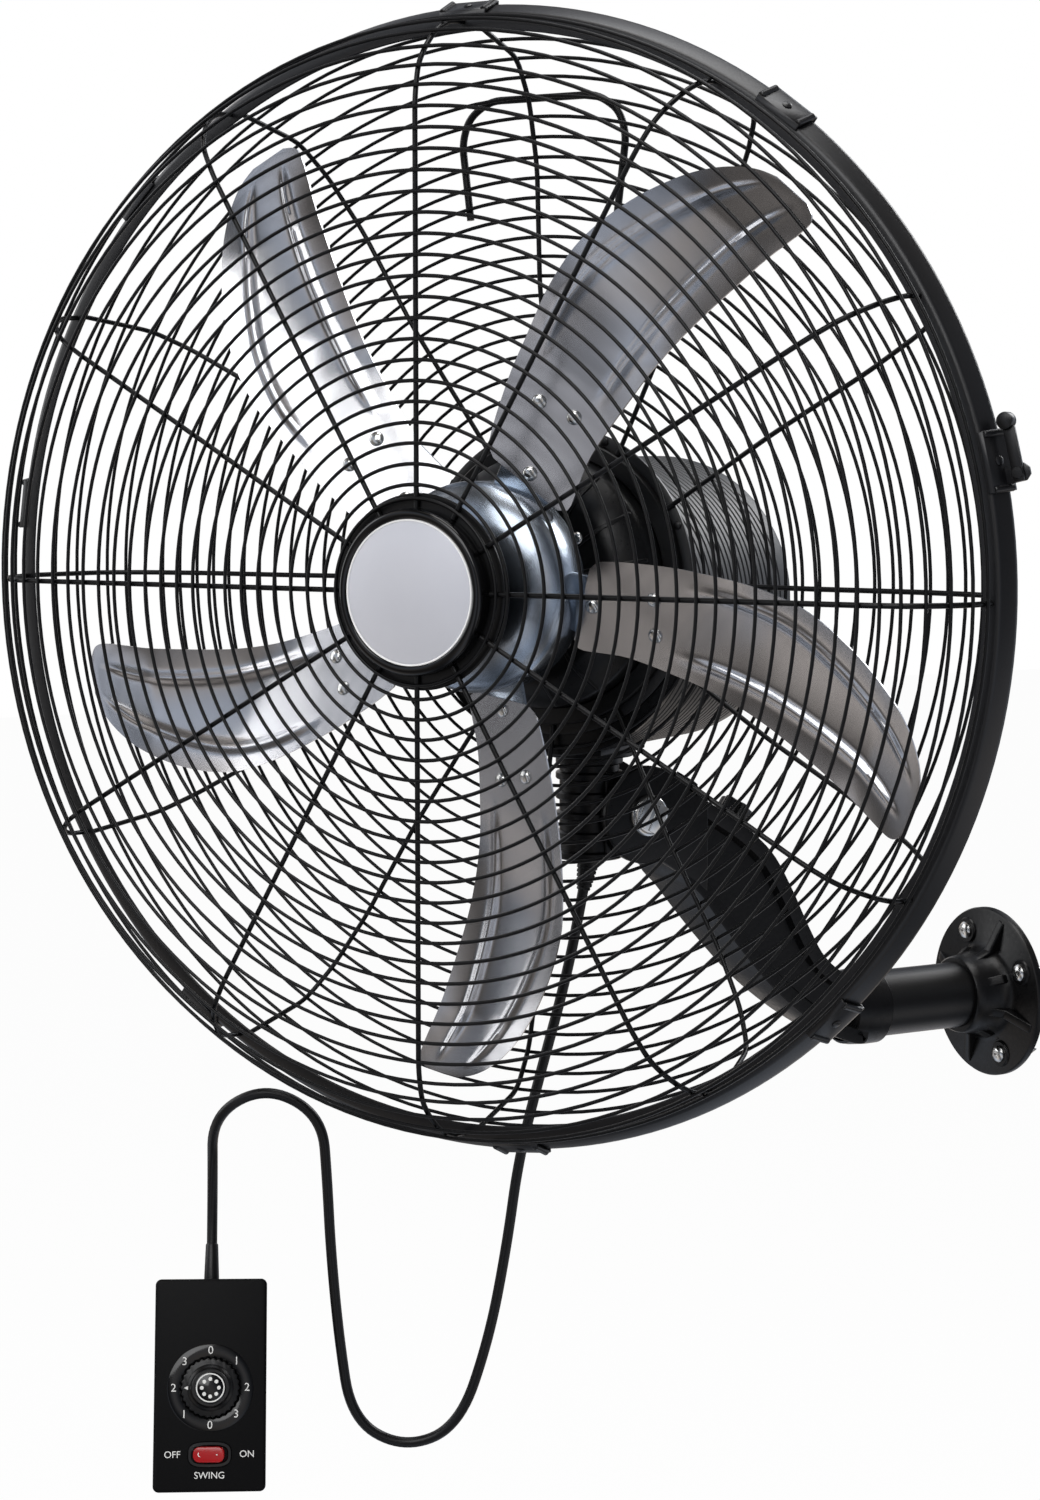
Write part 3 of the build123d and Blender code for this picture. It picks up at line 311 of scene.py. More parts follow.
@dataclass
class Shape:
    """A mesh in the making, in millimetres of one place."""

    place: Place
    bm: bmesh.types.BMesh = field(default_factory=bmesh.new)

    def turned(self, profile: Outline, steps: int = 96, closed: bool = True,
               turn: Optional[Matrix] = None) -> list[bmesh.types.BMVert]:
        """Spins an outline of radius and height about the place's own axis.

        Args:
            profile: Radius and height of each point.
            steps: Facets round the turn.
            closed: Whether the last point joins the first.
            turn: A matrix put on the result.

        Returns:
            The vertices made.
        """
        before = set(self.bm.verts)
        verts = [self.bm.verts.new((r, 0, z)) for r, z in profile]
        pairs = list(zip(verts, verts[1:])) + ([(verts[-1], verts[0])] if closed else [])
        edges = [self.bm.edges.new(p) for p in pairs]
        bmesh.ops.spin(self.bm, geom=verts + edges, cent=(0, 0, 0), axis=(0, 0, 1), angle=2 * math.pi,
                       steps=steps, use_merge=True)
        new = [v for v in self.bm.verts if v not in before]
        bmesh.ops.remove_doubles(self.bm, verts=new, dist=1e-4)
        new = [v for v in self.bm.verts if v not in before]
        if turn:
            bmesh.ops.transform(self.bm, matrix=turn, verts=new)
        return new

    def slab(self, outline: Outline, low: float, high: float, bevel: float = 0.0, segments: int = 2,
             turn: Optional[Matrix] = None, rims_only: bool = False) -> list[bmesh.types.BMVert]:
        """Extrudes a flat outline and rounds its edges.

        Args:
            outline: The corners, in order.
            low: Height of the first face.
            high: Height of the second face.
            bevel: Size of the rounding.
            segments: Steps of the rounding.
            turn: A matrix put on the result.
            rims_only: Whether only the two flat faces' rims are rounded.

        Returns:
            The vertices made.
        """
        before = set(self.bm.verts)
        face = self.bm.faces.new([self.bm.verts.new((x, y, low)) for x, y in outline])
        grown = bmesh.ops.extrude_face_region(self.bm, geom=[face])["geom"]
        tops = [g for g in grown if isinstance(g, bmesh.types.BMVert)]
        bmesh.ops.translate(self.bm, vec=(0, 0, high - low), verts=tops)
        new = [v for v in self.bm.verts if v not in before]
        if bevel:
            edges = {e for v in new for e in v.link_edges}
            if rims_only:
                edges = {e for e in edges if abs(e.verts[0].co.z - e.verts[1].co.z) < 1e-6}
            ease(self.bm, edges, bevel, segments)
            new = [v for v in self.bm.verts if v not in before]
        if turn:
            bmesh.ops.transform(self.bm, matrix=turn, verts=new)
        return new

    def rod(self, points: Iterable[Vector], radius: float, sides: int = 8) -> None:
        """Draws a round wire along points by extruding a circle from one to the next.

        Args:
            points: The wire's centre line.
            radius: Half its thickness.
            sides: Facets round the wire.
        """
        path = [Vector(p) for p in points]
        count = len(path)
        heads = []
        for i in range(count):
            back = path[i] - path[i - 1] if i else path[1] - path[0]
            ahead = path[i + 1] - path[i] if i < count - 1 else back
            heads.append((back.normalized() + ahead.normalized()).normalized())
        spot = Matrix.Translation(path[0]) @ heads[0].to_track_quat("Z", "Y").to_matrix().to_4x4()
        ring = bmesh.ops.create_circle(self.bm, segments=sides, radius=radius, matrix=spot)["verts"]
        first = edges = list({e for v in ring for e in v.link_edges})
        for i in range(1, count):
            grown = bmesh.ops.extrude_edge_only(self.bm, edges=edges)["geom"]
            verts = [g for g in grown if isinstance(g, bmesh.types.BMVert)]
            edges = [g for g in grown if isinstance(g, bmesh.types.BMEdge)]
            swing = heads[i - 1].rotation_difference(heads[i]).to_matrix().to_4x4()
            move = Matrix.Translation(path[i]) @ swing @ Matrix.Translation(-path[i - 1])
            bmesh.ops.transform(self.bm, matrix=move, verts=verts)
        bmesh.ops.edgenet_fill(self.bm, edges=first)
        bmesh.ops.edgenet_fill(self.bm, edges=edges)

    def hoop(self, radius: float, height: float, thick: float, steps: int, sides: int = 8) -> None:
        """One closed ring of round wire about the place's own axis.

        Args:
            radius: Radius of the ring's centre line.
            height: Its place along the axis.
            thick: Thickness of the wire.
            steps: Facets round the ring.
            sides: Facets round the wire.
        """
        spot = Matrix.Translation((radius, 0, height)) @ Matrix.Rotation(math.pi / 2, 4, "X")
        ring = bmesh.ops.create_circle(self.bm, segments=sides, radius=thick / 2, matrix=spot)["verts"]
        edges = list({e for v in ring for e in v.link_edges})
        bmesh.ops.spin(self.bm, geom=list(ring) + edges, cent=(0, 0, 0), axis=(0, 0, 1), angle=2 * math.pi,
                       steps=steps, use_merge=True)

    def done(self, name: str, finish: Finish, body: str, replaces: Sequence[str] = (),
             crease: float = 38.0, whole: bool = True) -> bpy.types.Object:
        """Turns the mesh into a finished piece that rides on a body.

        Args:
            name: The piece's name.
            finish: Its finish.
            body: The CAD body it rides on.
            replaces: The CAD nodes that it stands for.
            crease: Edges sharper than this many degrees stay sharp.
            whole: Whether the mesh is closed, so its normals are worked out again.

        Returns:
            The new object.
        """
        if whole:
            bmesh.ops.recalc_face_normals(self.bm, faces=self.bm.faces)
        for face in self.bm.faces:
            face.smooth = True
        for edge in self.bm.edges:
            edge.smooth = len(edge.link_faces) == 2 and edge.calc_face_angle(0) < math.radians(crease)
        bmesh.ops.transform(self.bm, matrix=self.place.matrix(), verts=self.bm.verts)
        mesh = bpy.data.meshes.new(name)
        self.bm.to_mesh(mesh)
        self.bm.free()
        piece = bpy.data.objects.new(name, mesh)
        bpy.context.scene.collection.objects.link(piece)
        return dress(piece, finish, body, replaces)


def dress(piece: bpy.types.Object, finish: Finish, body: str, replaces: Sequence[str] = ()) -> bpy.types.Object:
    """Gives a piece its finish, its body and the nodes it stands for.

    Args:
        piece: The piece.
        finish: Its finish.
        body: The CAD body it rides on.
        replaces: The CAD nodes that it stands for.

    Returns:
        The same piece.
    """
    piece.data.materials.clear()
    piece.data.materials.append(finish.make())
    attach(piece, body)
    if replaces:
        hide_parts(*replaces)
    log.info("%s: %s, %s, on %s", piece.name, finish.common, finish.made, body)
    return piece


def tangent_turn(degrees: float = 0.0) -> Matrix:
    """Stands an outline of radius and height upright on a radius of its place."""
    return Matrix.Rotation(math.radians(degrees), 4, "Z") @ Matrix.Rotation(math.pi / 2, 4, "X")


def spin_z(degrees: float) -> Matrix:
    """A turn about the place's own axis."""
    return Matrix.Rotation(math.radians(degrees), 4, "Z")


def shift(x: float, y: float, z: float = 0.0) -> Matrix:
    """A move within a place."""
    return Matrix.Translation((x, y, z))


def rounded(points: Sequence[Vector], radius: float, steps: int = 5) -> list[Vector]:
    """Points of an open path with each corner eased over a radius.

    Args:
        points: The path's corners.
        radius: How far from each corner the easing starts.
        steps: Steps of each eased corner.

    Returns:
        The eased path.
    """
    path = [Vector(points[0])]
    for a, b, c in zip(points, points[1:], points[2:]):
        a, b, c = Vector(a), Vector(b), Vector(c)
        reach = min(radius, (a - b).length * 0.45, (c - b).length * 0.45)
        start, end = b + (a - b).normalized() * reach, b + (c - b).normalized() * reach
        for k in range(steps + 1):
            f = k / steps
            path.append(start * (1 - f) ** 2 + b * 2 * f * (1 - f) + end * f ** 2)
    return path + [Vector(points[-1])]


def flowing(corners: Outline, steps: int = 6) -> list[tuple[float, float]]:
    """A closed outline that runs smoothly through its corner points.

    Args:
        corners: The points it runs through.
        steps: Steps from one of them to the next.

    Returns:
        The smooth outline.
    """
    line = []
    count = len(corners)
    for i in range(count):
        a, b, c, d = (Vector(corners[(i + k) % count]) for k in (-1, 0, 1, 2))
        for k in range(steps):
            f = k / steps
            line.append(tuple(0.5 * (2 * b + (c - a) * f + (2 * a - 5 * b + 4 * c - d) * f ** 2
                                     + (3 * b - a - 3 * c + d) * f ** 3)))
    return line


def smooth_step(value: float) -> float:
    """Eases a number between 0 and 1."""
    value = max(0.0, min(1.0, value))
    return value * value * (3 - 2 * value)


INK = 0.12   # thickness of printed ink, drawn thicker than real so that it shows


def lettering(shape: Shape, words: str, size: float, turn: Matrix) -> None:
    """Adds printed letters or figures to a shape, as thin raised ink.

    Args:
        shape: The shape they go into.
        words: What is printed.
        size: Height of the type.
        turn: Where it stands in the shape's place.
    """
    curve = bpy.data.curves.new("ink", "FONT")
    curve.body, curve.size, curve.extrude = words, size, INK / 2
    curve.align_x, curve.align_y, curve.resolution_u = "CENTER", "CENTER", 4
    holder = bpy.data.objects.new("ink", curve)
    bpy.context.scene.collection.objects.link(holder)
    bpy.context.view_layer.update()
    mesh = bpy.data.meshes.new_from_object(holder.evaluated_get(bpy.context.evaluated_depsgraph_get()))
    mesh.transform(turn)
    shape.bm.from_mesh(mesh)
    bpy.data.objects.remove(holder)
    bpy.data.meshes.remove(mesh)


# ---------------------------------------------------------------- cage
@dataclass
class Cage:
    """The two wire guards, the rim band with its clips, the latch and the carry handle."""

    ring_wire: float = 2.3
    spoke_wire: float = 3.2
    spokes: int = 12
    handle_wire: float = 4.7
    front_line: Outline = ((49.4, 0), (284.7, 0), (304, -4), (315, -12), (326, -24), (333, -38),
                           (335, -55.6))
    rear_line: Outline = ((91.9, -167.3), (99, -167.3), (184, -150.7), (256, -147.1), (296, -137),
                          (321, -121), (333, -81), (337.2, -66), (336.7, -60))
    ring_pitch: int = 12
    front_first: float = 62.7
    rear_first: float = 106.0
    front_bend_rings: Sequence[float] = (302.0, 313.0, 323.0, 330.5, 333.9)
    rear_bend_rings: Sequence[float] = (297.5, 308.5, 319.0, 327.0, 332.0)
    clip_angles: Sequence[float] = (90, 53, -45, -84, -126, 172, 135)
    clip_half: float = 15.5
    latch_half: float = 17.0
    clip_slope: float = -64.0
    latch_angle: float = 13.0
    latch_pin: float = -1.4
    lever_heel: float = -2.2
    lever_toe: float = 2.7
    lever_knob: float = 3.3
    plate_screws: int = 8

    def seat(self, line: Outline, radius: float, side: float) -> tuple[float, float]:
        """Centre of a ring's wire where it rests on the spokes' outer face.

        Args:
            line: Radius and height of that face.
            radius: The ring's radius.
            side: 1 for the front guard, -1 for the rear one.

        Returns:
            Radius and height of the wire's centre.
        """
        for (r0, t0), (r1, t1) in zip(line, line[1:]):
            if min(r0, r1) <= radius <= max(r0, r1) and abs(r1 - r0) > 0.5:
                f = (radius - r0) / (r1 - r0)
                slope = math.atan2(t1 - t0, r1 - r0)
                lift = side * self.ring_wire * 0.48
                return radius - math.sin(slope) * lift, t0 + (t1 - t0) * f + math.cos(slope) * lift
        raise ValueError(radius)

    def guard(self, name: str, line: Outline, rings: Sequence[float], side: float) -> None:
        """Bends and spot-welds one guard.

        Args:
            name: The first word of the CAD nodes that it stands for.
            line: Radius and height of the spokes' outer face.
            rings: The rings' radii.
            side: 1 for the front guard, -1 for the rear one.
        """
        shape = Shape(HEAD)
        half = self.spoke_wire / 2
        middle = []
        for i, (r, t) in enumerate(line):
            r0, t0 = line[max(i - 1, 0)]
            r1, t1 = line[min(i + 1, len(line) - 1)]
            along = Vector((r1 - r0, t1 - t0)).normalized()
            middle.append(Vector((r + along.y * half * side, 0, t - along.x * half * side)))
        path = rounded(middle, 9.0)
        for k in range(self.spokes):
            turn = spin_z(360 / self.spokes * k)
            shape.rod([turn @ p for p in path], half, 8)
        for radius in rings:
            r, t = self.seat(line, radius, side)
            shape.hoop(r, t, self.ring_wire, 96 if radius < 150 else 144, 8)
        nodes = [f"{name}_{kind}" for kind in ("spokes", "rings", "side_rings")]
        shape.done(name + "_guard_wires", WIRE_ENAMEL, "head", nodes, crease=60)

    def rim(self) -> None:
        """Rolls the rim band with its turned lip."""
        shape = Shape(HEAD)
        outline = [(328.2, -56), (335.6, -56), (337.4, -56.5), (338.6, -58), (343.2, -66.4),
                   (343.8, -68.2), (343.4, -69), (342.2, -68.6), (337.4, -59.2), (335.8, -57.8),
                   (328.2, -57.8), (327.5, -56.9)]
        shape.turned(outline, 192)
        shape.done("rim_band_rolled", BAND_ENAMEL, "head", ["rim_band"], crease=50)

    def clip(self, shape: Shape, angle: float, half: float) -> None:
        """Folds one clip over the rim, with its rolled ends and its stud.

        Args:
            shape: The shape it goes into.
            angle: Where it sits round the rim.
            half: Half its length along the rim.
        """
        line = [(335.6, -54.6), (339.4, -54.6), (346.2, -68.4), (346.2, -71.8), (339.4, -71.8),
                (339.4, -70.4), (344.8, -70.4), (344.8, -68.8), (338.4, -56), (335.6, -56)]
        shape.slab(line, -half, half, 0.35, 1, tangent_turn(angle))
        bead = [(0, -7.2), (1.7, -7.2), (2.1, -6.8), (2.1, 6.8), (1.7, 7.2), (0, 7.2)]
        face = spin_z(self.clip_slope)
        for end in (-half + 1.6, half - 1.6):
            roll = tangent_turn(angle) @ shift(342.4, -61.8, end) @ face @ Matrix.Rotation(
                math.pi / 2, 4, "Y")
            shape.turned(bead, 12, False, roll)
        stud = tangent_turn(angle) @ shift(342.6, -61.9) @ face @ Matrix.Rotation(
            math.pi / 2, 4, "X").inverted()
        shape.turned([(0, -0.4), (2.8, -0.4), (2.8, 0.9), (1.8, 1.5), (0, 1.6)], 16, False, stud)

    def clips(self) -> None:
        """All the plain clips round the rim."""
        shape = Shape(HEAD)
        for angle in self.clip_angles:
            self.clip(shape, angle, self.clip_half)
        shape.done("rim_clips_pressed", BAND_ENAMEL, "head", ["rim_clips"])

    def latch(self) -> None:
        """The latch: its plate with an ear, and the lever that turns on it."""
        plate = Shape(HEAD)
        self.clip(plate, self.latch_angle, self.latch_half)
        pin_angle = self.latch_angle + self.latch_pin
        x, y = polar(351, pin_angle)
        ear = [(-7, -5), (4, -5), (7, -2), (7, 2), (4, 5), (-7, 5)]
        plate.slab(ear, -66.5, -64.1, 0.4, 2, shift(x, y) @ spin_z(self.latch_angle))
        plate.done("latch_plate_pressed", BAND_ENAMEL, "head", ["latch_plate"])
        lever = Shape(HEAD)
        low, high = self.latch_angle + self.lever_heel, self.latch_angle + self.lever_toe
        outline = [polar(349.4, low), polar(354.8, low), polar(355.5, low + 0.5), polar(355.5, high),
                   polar(348.8, high), polar(348.8, low + 0.5)]
        lever.slab(outline, -63.8, -60.8, 0.6, 2)
        pin = [(0, -69), (2, -69), (2, -60.8), (3.4, -60.6), (3, -59.9), (0, -59.6)]
        lever.turned(pin, 20, False, shift(*polar(352, pin_angle)))
        knob = [(0, -66), (4.0, -66), (4.8, -65), (4.9, -60), (4.5, -58.6), (3.2, -58), (0, -58)]
        lever.turned(knob, 28, False, shift(*polar(351.6, self.latch_angle + self.lever_knob)))
        lever.done("latch_lever_moulded", KNOB_ABS, "latch", ["latch_lever"])

    def ring_plate(self) -> None:
        """The plate that clamps the rear guard against the motor."""
        shape = Shape(HEAD)
        shape.turned([(80.2, -170.5), (97.2, -170.5), (98, -169.8), (98, -168), (97.2, -167.4),
                      (91.6, -167.4), (91.2, -166.8), (91.2, -163), (90.4, -162), (81, -162),
                      (80.2, -162.8)], 120)
        dome = [(0, -167.5), (2.6, -167.5), (2.6, -166.2), (1.8, -165.6), (0, -165.4)]
        for k in range(self.plate_screws):
            x, y = polar(94.6, 22.5 + 45 * k)
            shape.turned(dome, 12, False, shift(x, y))
        shape.done("guard_ring_pressed", SHELL_PAINT, "head", ["guard_ring"])

    def handle(self) -> None:
        """The bent carry handle on the rear guard."""
        shape = Shape(HEAD)
        path = [(-52, 226), (-58, 274), (-53, 289), (-38, 299), (38, 299), (53, 289), (58, 274),
                (52, 226)]
        shape.rod(rounded([Vector((x, y, -153)) for x, y in path], 9.0), self.handle_wire / 2, 12)
        shape.done("carry_handle_bent", WIRE_ENAMEL, "head", ["carry_handle"], crease=60)

    def build(self) -> None:
        """Makes the whole cage."""
        front = [54.7] + [self.front_first + self.ring_pitch * k for k in range(20)]
        rear = [self.rear_first + self.ring_pitch * k for k in range(16)]
        self.guard("front", self.front_line, front + list(self.front_bend_rings), 1)
        self.guard("rear", self.rear_line, rear + list(self.rear_bend_rings), -1)
        self.rim()
        self.clips()
        self.latch()
        self.ring_plate()
        self.handle()


# ---------------------------------------------------------------- badge
@dataclass
class Badge:
    """The plain disc in its glossy bezel at the middle of the front guard."""

    radius: float = 49.0

    def build(self) -> None:
        """Makes the bezel, the disc, its pale edge ring, which is a painted highlight, and the plate behind."""
        bezel = Shape(HEAD)
        rim = self.radius
        bezel.turned([(0, -3.2), (rim - 0.8, -3.2), (rim, -2.4), (rim, 5.2), (rim - 0.3, 6.6),
                      (rim - 1.2, 7.8), (rim - 2.4, 8.4), (rim - 4.6, 8.4), (rim - 5.6, 7.9),
                      (rim - 5.9, 6.9), (rim - 5.9, 6), (0, 6)], 144, False)
        bezel.done("badge_bezel_moulded", GLOSS_ABS, "head", ["badge_bezel"])
        disc = Shape(HEAD)
        disc.turned([(0, 6.05), (41.6, 6.05), (41.6, 7.4), (41.2, 7.6), (0, 7.75)], 144, False)
        disc.done("badge_disc_lacquered", DISC_LACQUER, "head", ["badge_disc"])
        # The pale edge ring is a painted highlight: white where the disc's rim catches the light.
        edge = Shape(HEAD)
        edge.turned([(41.65, 6.05), (42.9, 6.05), (42.9, 7.5), (42.6, 7.95), (42.0, 7.95),
                     (41.65, 7.6)], 144)
        edge.done("badge_edge_painted_highlight", HIGHLIGHT_RING_WHITE, "head")
        back = Shape(HEAD)
        back.turned([(0, -8), (45, -8), (48, -6.4), (48, -5.4), (57, -5.4), (57.8, -4.6),
                     (57.8, -4), (57, -3.25), (0, -3.25)], 120, False)
        back.done("badge_backplate_pressed", SHELL_PAINT, "head", ["badge_backplate"])


# ---------------------------------------------------------------- rotor
@dataclass
class Rotor:
    """Five pressed crescent blades on a spun hub, with their rivets, shaft and nut."""

    blades: int = 5
    tip: float = 120.1
    arm_turn: float = 16.3
    plane: float = -79.0
    pitch: float = 0.36
    sheet: float = 1.6
    stations: Sequence[tuple[float, float, float]] = (
        (66, -4.0, 43.0), (68, -7.4, 47.6), (72, -8.5, 50.6), (84, -4.6, 56.0), (100, 0.5, 62.0),
        (116, 3.0, 67.4), (134, 4.6, 72.2), (150, 5.7, 76.2), (165, 6.2, 79.4), (182, 5.5, 81.5),
        (198, 4.0, 82.0), (215, 1.4, 79.6), (232, -1.8, 75.0), (247, -4.8, 69.4), (262, -8.0, 62.0),
        (274, -11.4, 54.8), (284, -14.5, 46.8), (292, -16.7, 38.6), (298, -17.5, 30.6),
        (302, -15.6, 23.0), (305, -10.0, 14.0))
    root_x: float = 66.0
    flat_to: float = 134.0       # as far as this the blade lies flat on its arm
    curved_from: float = 165.0   # and from here it has its own curve
    tip_x: float = 305.0
    dish_depth: float = 6.0
    rib_height: float = 2.4
    rib_width: float = 0.075

    def edge(self, x: float, which: int) -> float:
        """One edge of the blade across its tip line, eased between the stations.

        Args:
            x: Distance out from the axis.
            which: 1 for the edge in the stations' second column, 2 for the one in the third.

        Returns:
            How far the edge lies off the tip line.
        """
        rows = self.stations
        x = max(rows[0][0], min(rows[-1][0], x))
        i = next(k for k in range(len(rows) - 1) if x <= rows[k + 1][0])
        p0, p1 = rows[i], rows[i + 1]
        before, after = rows[max(i - 1, 0)], rows[min(i + 2, len(rows) - 1)]
        m0 = (p1[which] - before[which]) / (p1[0] - before[0])
        m1 = (after[which] - p0[which]) / (after[0] - p0[0])
        step = p1[0] - p0[0]
        f = (x - p0[0]) / step
        return ((2 * f ** 3 - 3 * f ** 2 + 1) * p0[which] + (f ** 3 - 2 * f ** 2 + f) * step * m0
                + (3 * f ** 2 - 2 * f ** 3) * p1[which] + (f ** 3 - f ** 2) * step * m1)

    def surface(self, x: float, across: float) -> Vector:
        """A point of the blade's middle sheet.

        Args:
            x: Distance out from the axis.
            across: Place across the blade, from -1 to 1.

        Returns:
            The point, with the tip line along x.
        """
        low, high = self.edge(x, 1), self.edge(x, 2)
        mid, half = (low + high) / 2, (high - low) / 2
        root = max(0.0, min(1.0, (self.curved_from - x) / (self.curved_from - self.flat_to)))
        c = math.cos(math.radians(self.arm_turn))
        outward = (x - 180) / 120
        slope = self.pitch * c * root + (0.35 - 0.11 * outward - 0.10 * outward ** 2) * (1 - root)
        centre = x * math.tan(math.radians(self.arm_turn))
        base = self.plane + (mid - centre) * self.pitch * c * root
        dish = self.dish_depth * smooth_step((x - 130) / 66) * min(1.0, max(0.0, (self.tip_x - x) / 40))
        rib = self.rib_height * smooth_step((x - 126) / 34) * smooth_step((300 - x) / 22)
        spread = 0.62 - 0.20 * smooth_step((x - 150) / 150)
        bead = sum(math.exp(-((across - at) / self.rib_width) ** 2) for at in (-spread, spread + 0.04))
        t = base + slope * across * half - dish * (1 - across * across) + rib * bead
        return Vector((x, mid + across * half, t))

    def build_blades(self) -> None:
        """Presses the blades: a grid drawn over the blade's surface and given its thickness."""
        shape = Shape(HEAD)
        rows, columns = 84, 40
        for k in range(self.blades):
            grid = bmesh.ops.create_grid(shape.bm, x_segments=rows, y_segments=columns, size=1.0)["verts"]
            turn = spin_z(self.tip + 360 / self.blades * k)
            faces = list({f for v in grid for f in v.link_faces})
            for v in grid:
                f = (v.co.x + 1) / 2
                x = self.root_x + (self.tip_x - self.root_x) * (1 - (1 - f) ** 1.35)
                v.co = turn @ self.surface(x, v.co.y)
            skin = bmesh.ops.solidify(shape.bm, geom=faces, thickness=self.sheet)["geom"]
            thick = list(grid) + [g for g in skin if isinstance(g, bmesh.types.BMVert)]
            bmesh.ops.translate(shape.bm, vec=(0, 0, self.sheet / 2), verts=thick)
        shape.done("blades_pressed", ROLLED_ALUMINIUM, "rotor", ["blades"], crease=50)

    def seat(self, k: int, radius: float, face: float) -> Matrix:
        """Where something lies on an arm.

        Args:
            k: Which arm.
            radius: Distance out from the axis.
            face: 1 for the blade's front face, -1 for its back, where it meets the arm.

        Returns:
            A matrix whose x runs out along the arm and whose z points to the front.
        """
        turn = spin_z(self.tip + 360 / self.blades * k + self.arm_turn)
        lean = Matrix.Rotation(math.atan(self.pitch), 4, "X")
        return turn @ shift(radius, 0, self.plane + face * self.sheet / 2) @ lean

    def build_hub(self) -> None:
        """Spins the domed hub and adds the arms that carry the blades."""
        shape = Shape(HEAD)
        shape.turned([(6.1, -50.4), (9, -49.6), (33, -49.6), (36, -50), (44, -51.4), (54, -54.6), (61, -60.4),
                      (63.6, -64), (64, -66), (64, -90), (63.4, -91), (40, -93), (23, -95), (22, -96),
                      (16.4, -108), (15.6, -110), (6.1, -110)], 128)
        arm = [(-42, -19), (34, -19), (40, -15), (42, -9), (42, 9), (40, 15), (34, 19), (-42, 19)]
        for k in range(self.blades):
            shape.slab(arm, -3, 0, 0.5, 2, self.seat(k, 92, -1))
        shape.done("hub_spun", SPUN_ALUMINIUM, "rotor", ["hub_spider"])
        rivets = Shape(HEAD)
        dome = [(0, -0.3), (4.6, -0.3), (4.6, 0.3), (4.1, 1.4), (2.8, 2.1), (0, 2.4)]
        for k in range(self.blades):
            for x, y in ((-20, 0), (22, -11.5), (22, 11.5)):
                rivets.turned(dome, 24, False, self.seat(k, 96, 1) @ shift(x, y))
        rivets.done("blade_rivets_headed", ZINC_PLATE, "rotor", ["blade_rivets"])
        nut = Shape(HEAD)
        nut.slab([polar(11, 60 * i) for i in range(6)], -49.5, -41.5, 0.8, 2)
        nut.turned([(0, -41.6), (5.9, -41.6), (5.9, -38.6), (5.2, -38), (0, -38)], 24, False)
        nut.done("hub_nut_turned", ZINC_PLATE, "rotor", ["hub_nut"])

    def build(self) -> None:
        """Makes the rotor."""
        self.build_blades()
        self.build_hub()


# ---------------------------------------------------------------- motor
@dataclass
class Motor:
    """The drum motor: grooved shell, ribbed front cover, screws and the saddle below it."""

    shell_radius: float = 95.0
    front: float = -176.0
    rear: float = -341.0
    groove_pitch: float = 6.4
    groove_depth: float = 0.8
    ribs: int = 16
    screws: int = 4

    def shell(self) -> None:
        """Turns the shell, with shallow grooves round it and a rounded rear."""
        r = self.shell_radius
        line = [(0, self.rear + 1), (20, self.rear + 1), (22, self.rear), (60, self.rear)]
        for a in (math.radians(d) for d in range(10, 91, 10)):
            line.append((60 + 35 * math.sin(a), self.rear + 24 - 24 * math.cos(a)))
        at = -306.0
        while at < -184:
            low = r - self.groove_depth
            line += [(r, at), (low, at + 0.8), (low, at + 1.8), (r, at + 2.6)]
            at += self.groove_pitch
        line += [(r, self.front - 1), (r - 1, self.front), (92, self.front), (92, -316),
                 (66, self.rear + 3), (0, self.rear + 3)]
        shape = Shape(SHELL)
        shape.turned(line, 144, False)
        shape.done("motor_shell_drawn", MOTOR_PAINT, "head", ["motor_shell"], crease=30)

    def cover(self) -> None:
        """Casts the front cover with its radial ribs, bearing boss and screws."""
        shape = Shape(HEAD)
        shape.turned([(8, -136.4), (9, -134.6), (22, -133.4), (23, -132), (58, -131.4), (64, -132.6),
                      (78.6, -144), (80, -147), (80, -171), (77, -171), (77, -148), (58, -134.8),
                      (8, -137.4)], 120)
        rib = [(26, -133.6), (26, -131.6), (58, -130.2), (66, -133), (79.4, -144), (79.4, -150),
               (60, -136)]
        for k in range(self.ribs):
            shape.slab(rib, -1.3, 1.3, 0.4, 1, tangent_turn(360 / self.ribs * k + 11))
        flange = Shape(SHELL)
        flange.turned([(70, -176), (94.4, -176), (95, -175.4), (95, -171.2), (94.2, -170.5),
                       (70, -170.5)], 120)
        flange.done("motor_cover_flange", CAST_PAINT, "head")
        shape.done("motor_cover_cast", CAST_PAINT, "head", ["motor_front_cover"])
        screws = Shape(HEAD)
        for k in range(self.screws):
            x, y = polar(46, 38 + 360 / self.screws * k)
            cross_head(screws, shift(x, y, -131.4), 4.2, 2.4)
        screws.done("cover_screws_turned", ZINC_PLATE, "head", ["cover_screws"])

    def saddle(self) -> None:
        """The casting that carries the motor on the swing pin."""
        shape = Shape(PAN)
        shape.turned([(0, 186.3), (28.4, 186.3), (29, 186.9), (29, 189), (28.4, 189.5), (0, 189.5)],
                     96, False)
        shape.slab([(-25, -31), (25, -31), (25, 31), (-25, 31)], 189.3, 193.6, 0.8, 2)
        shape.turned([(0, 134.3), (8.4, 134.3), (9, 134.9), (9, 186.5), (0, 186.5)], 48, False)
        shape.done("pan_saddle_cast", CAST_PAINT, "head", ["pan_saddle"])

    def build(self) -> None:
        """Makes the motor."""
        self.shell()
        self.cover()
        self.saddle()


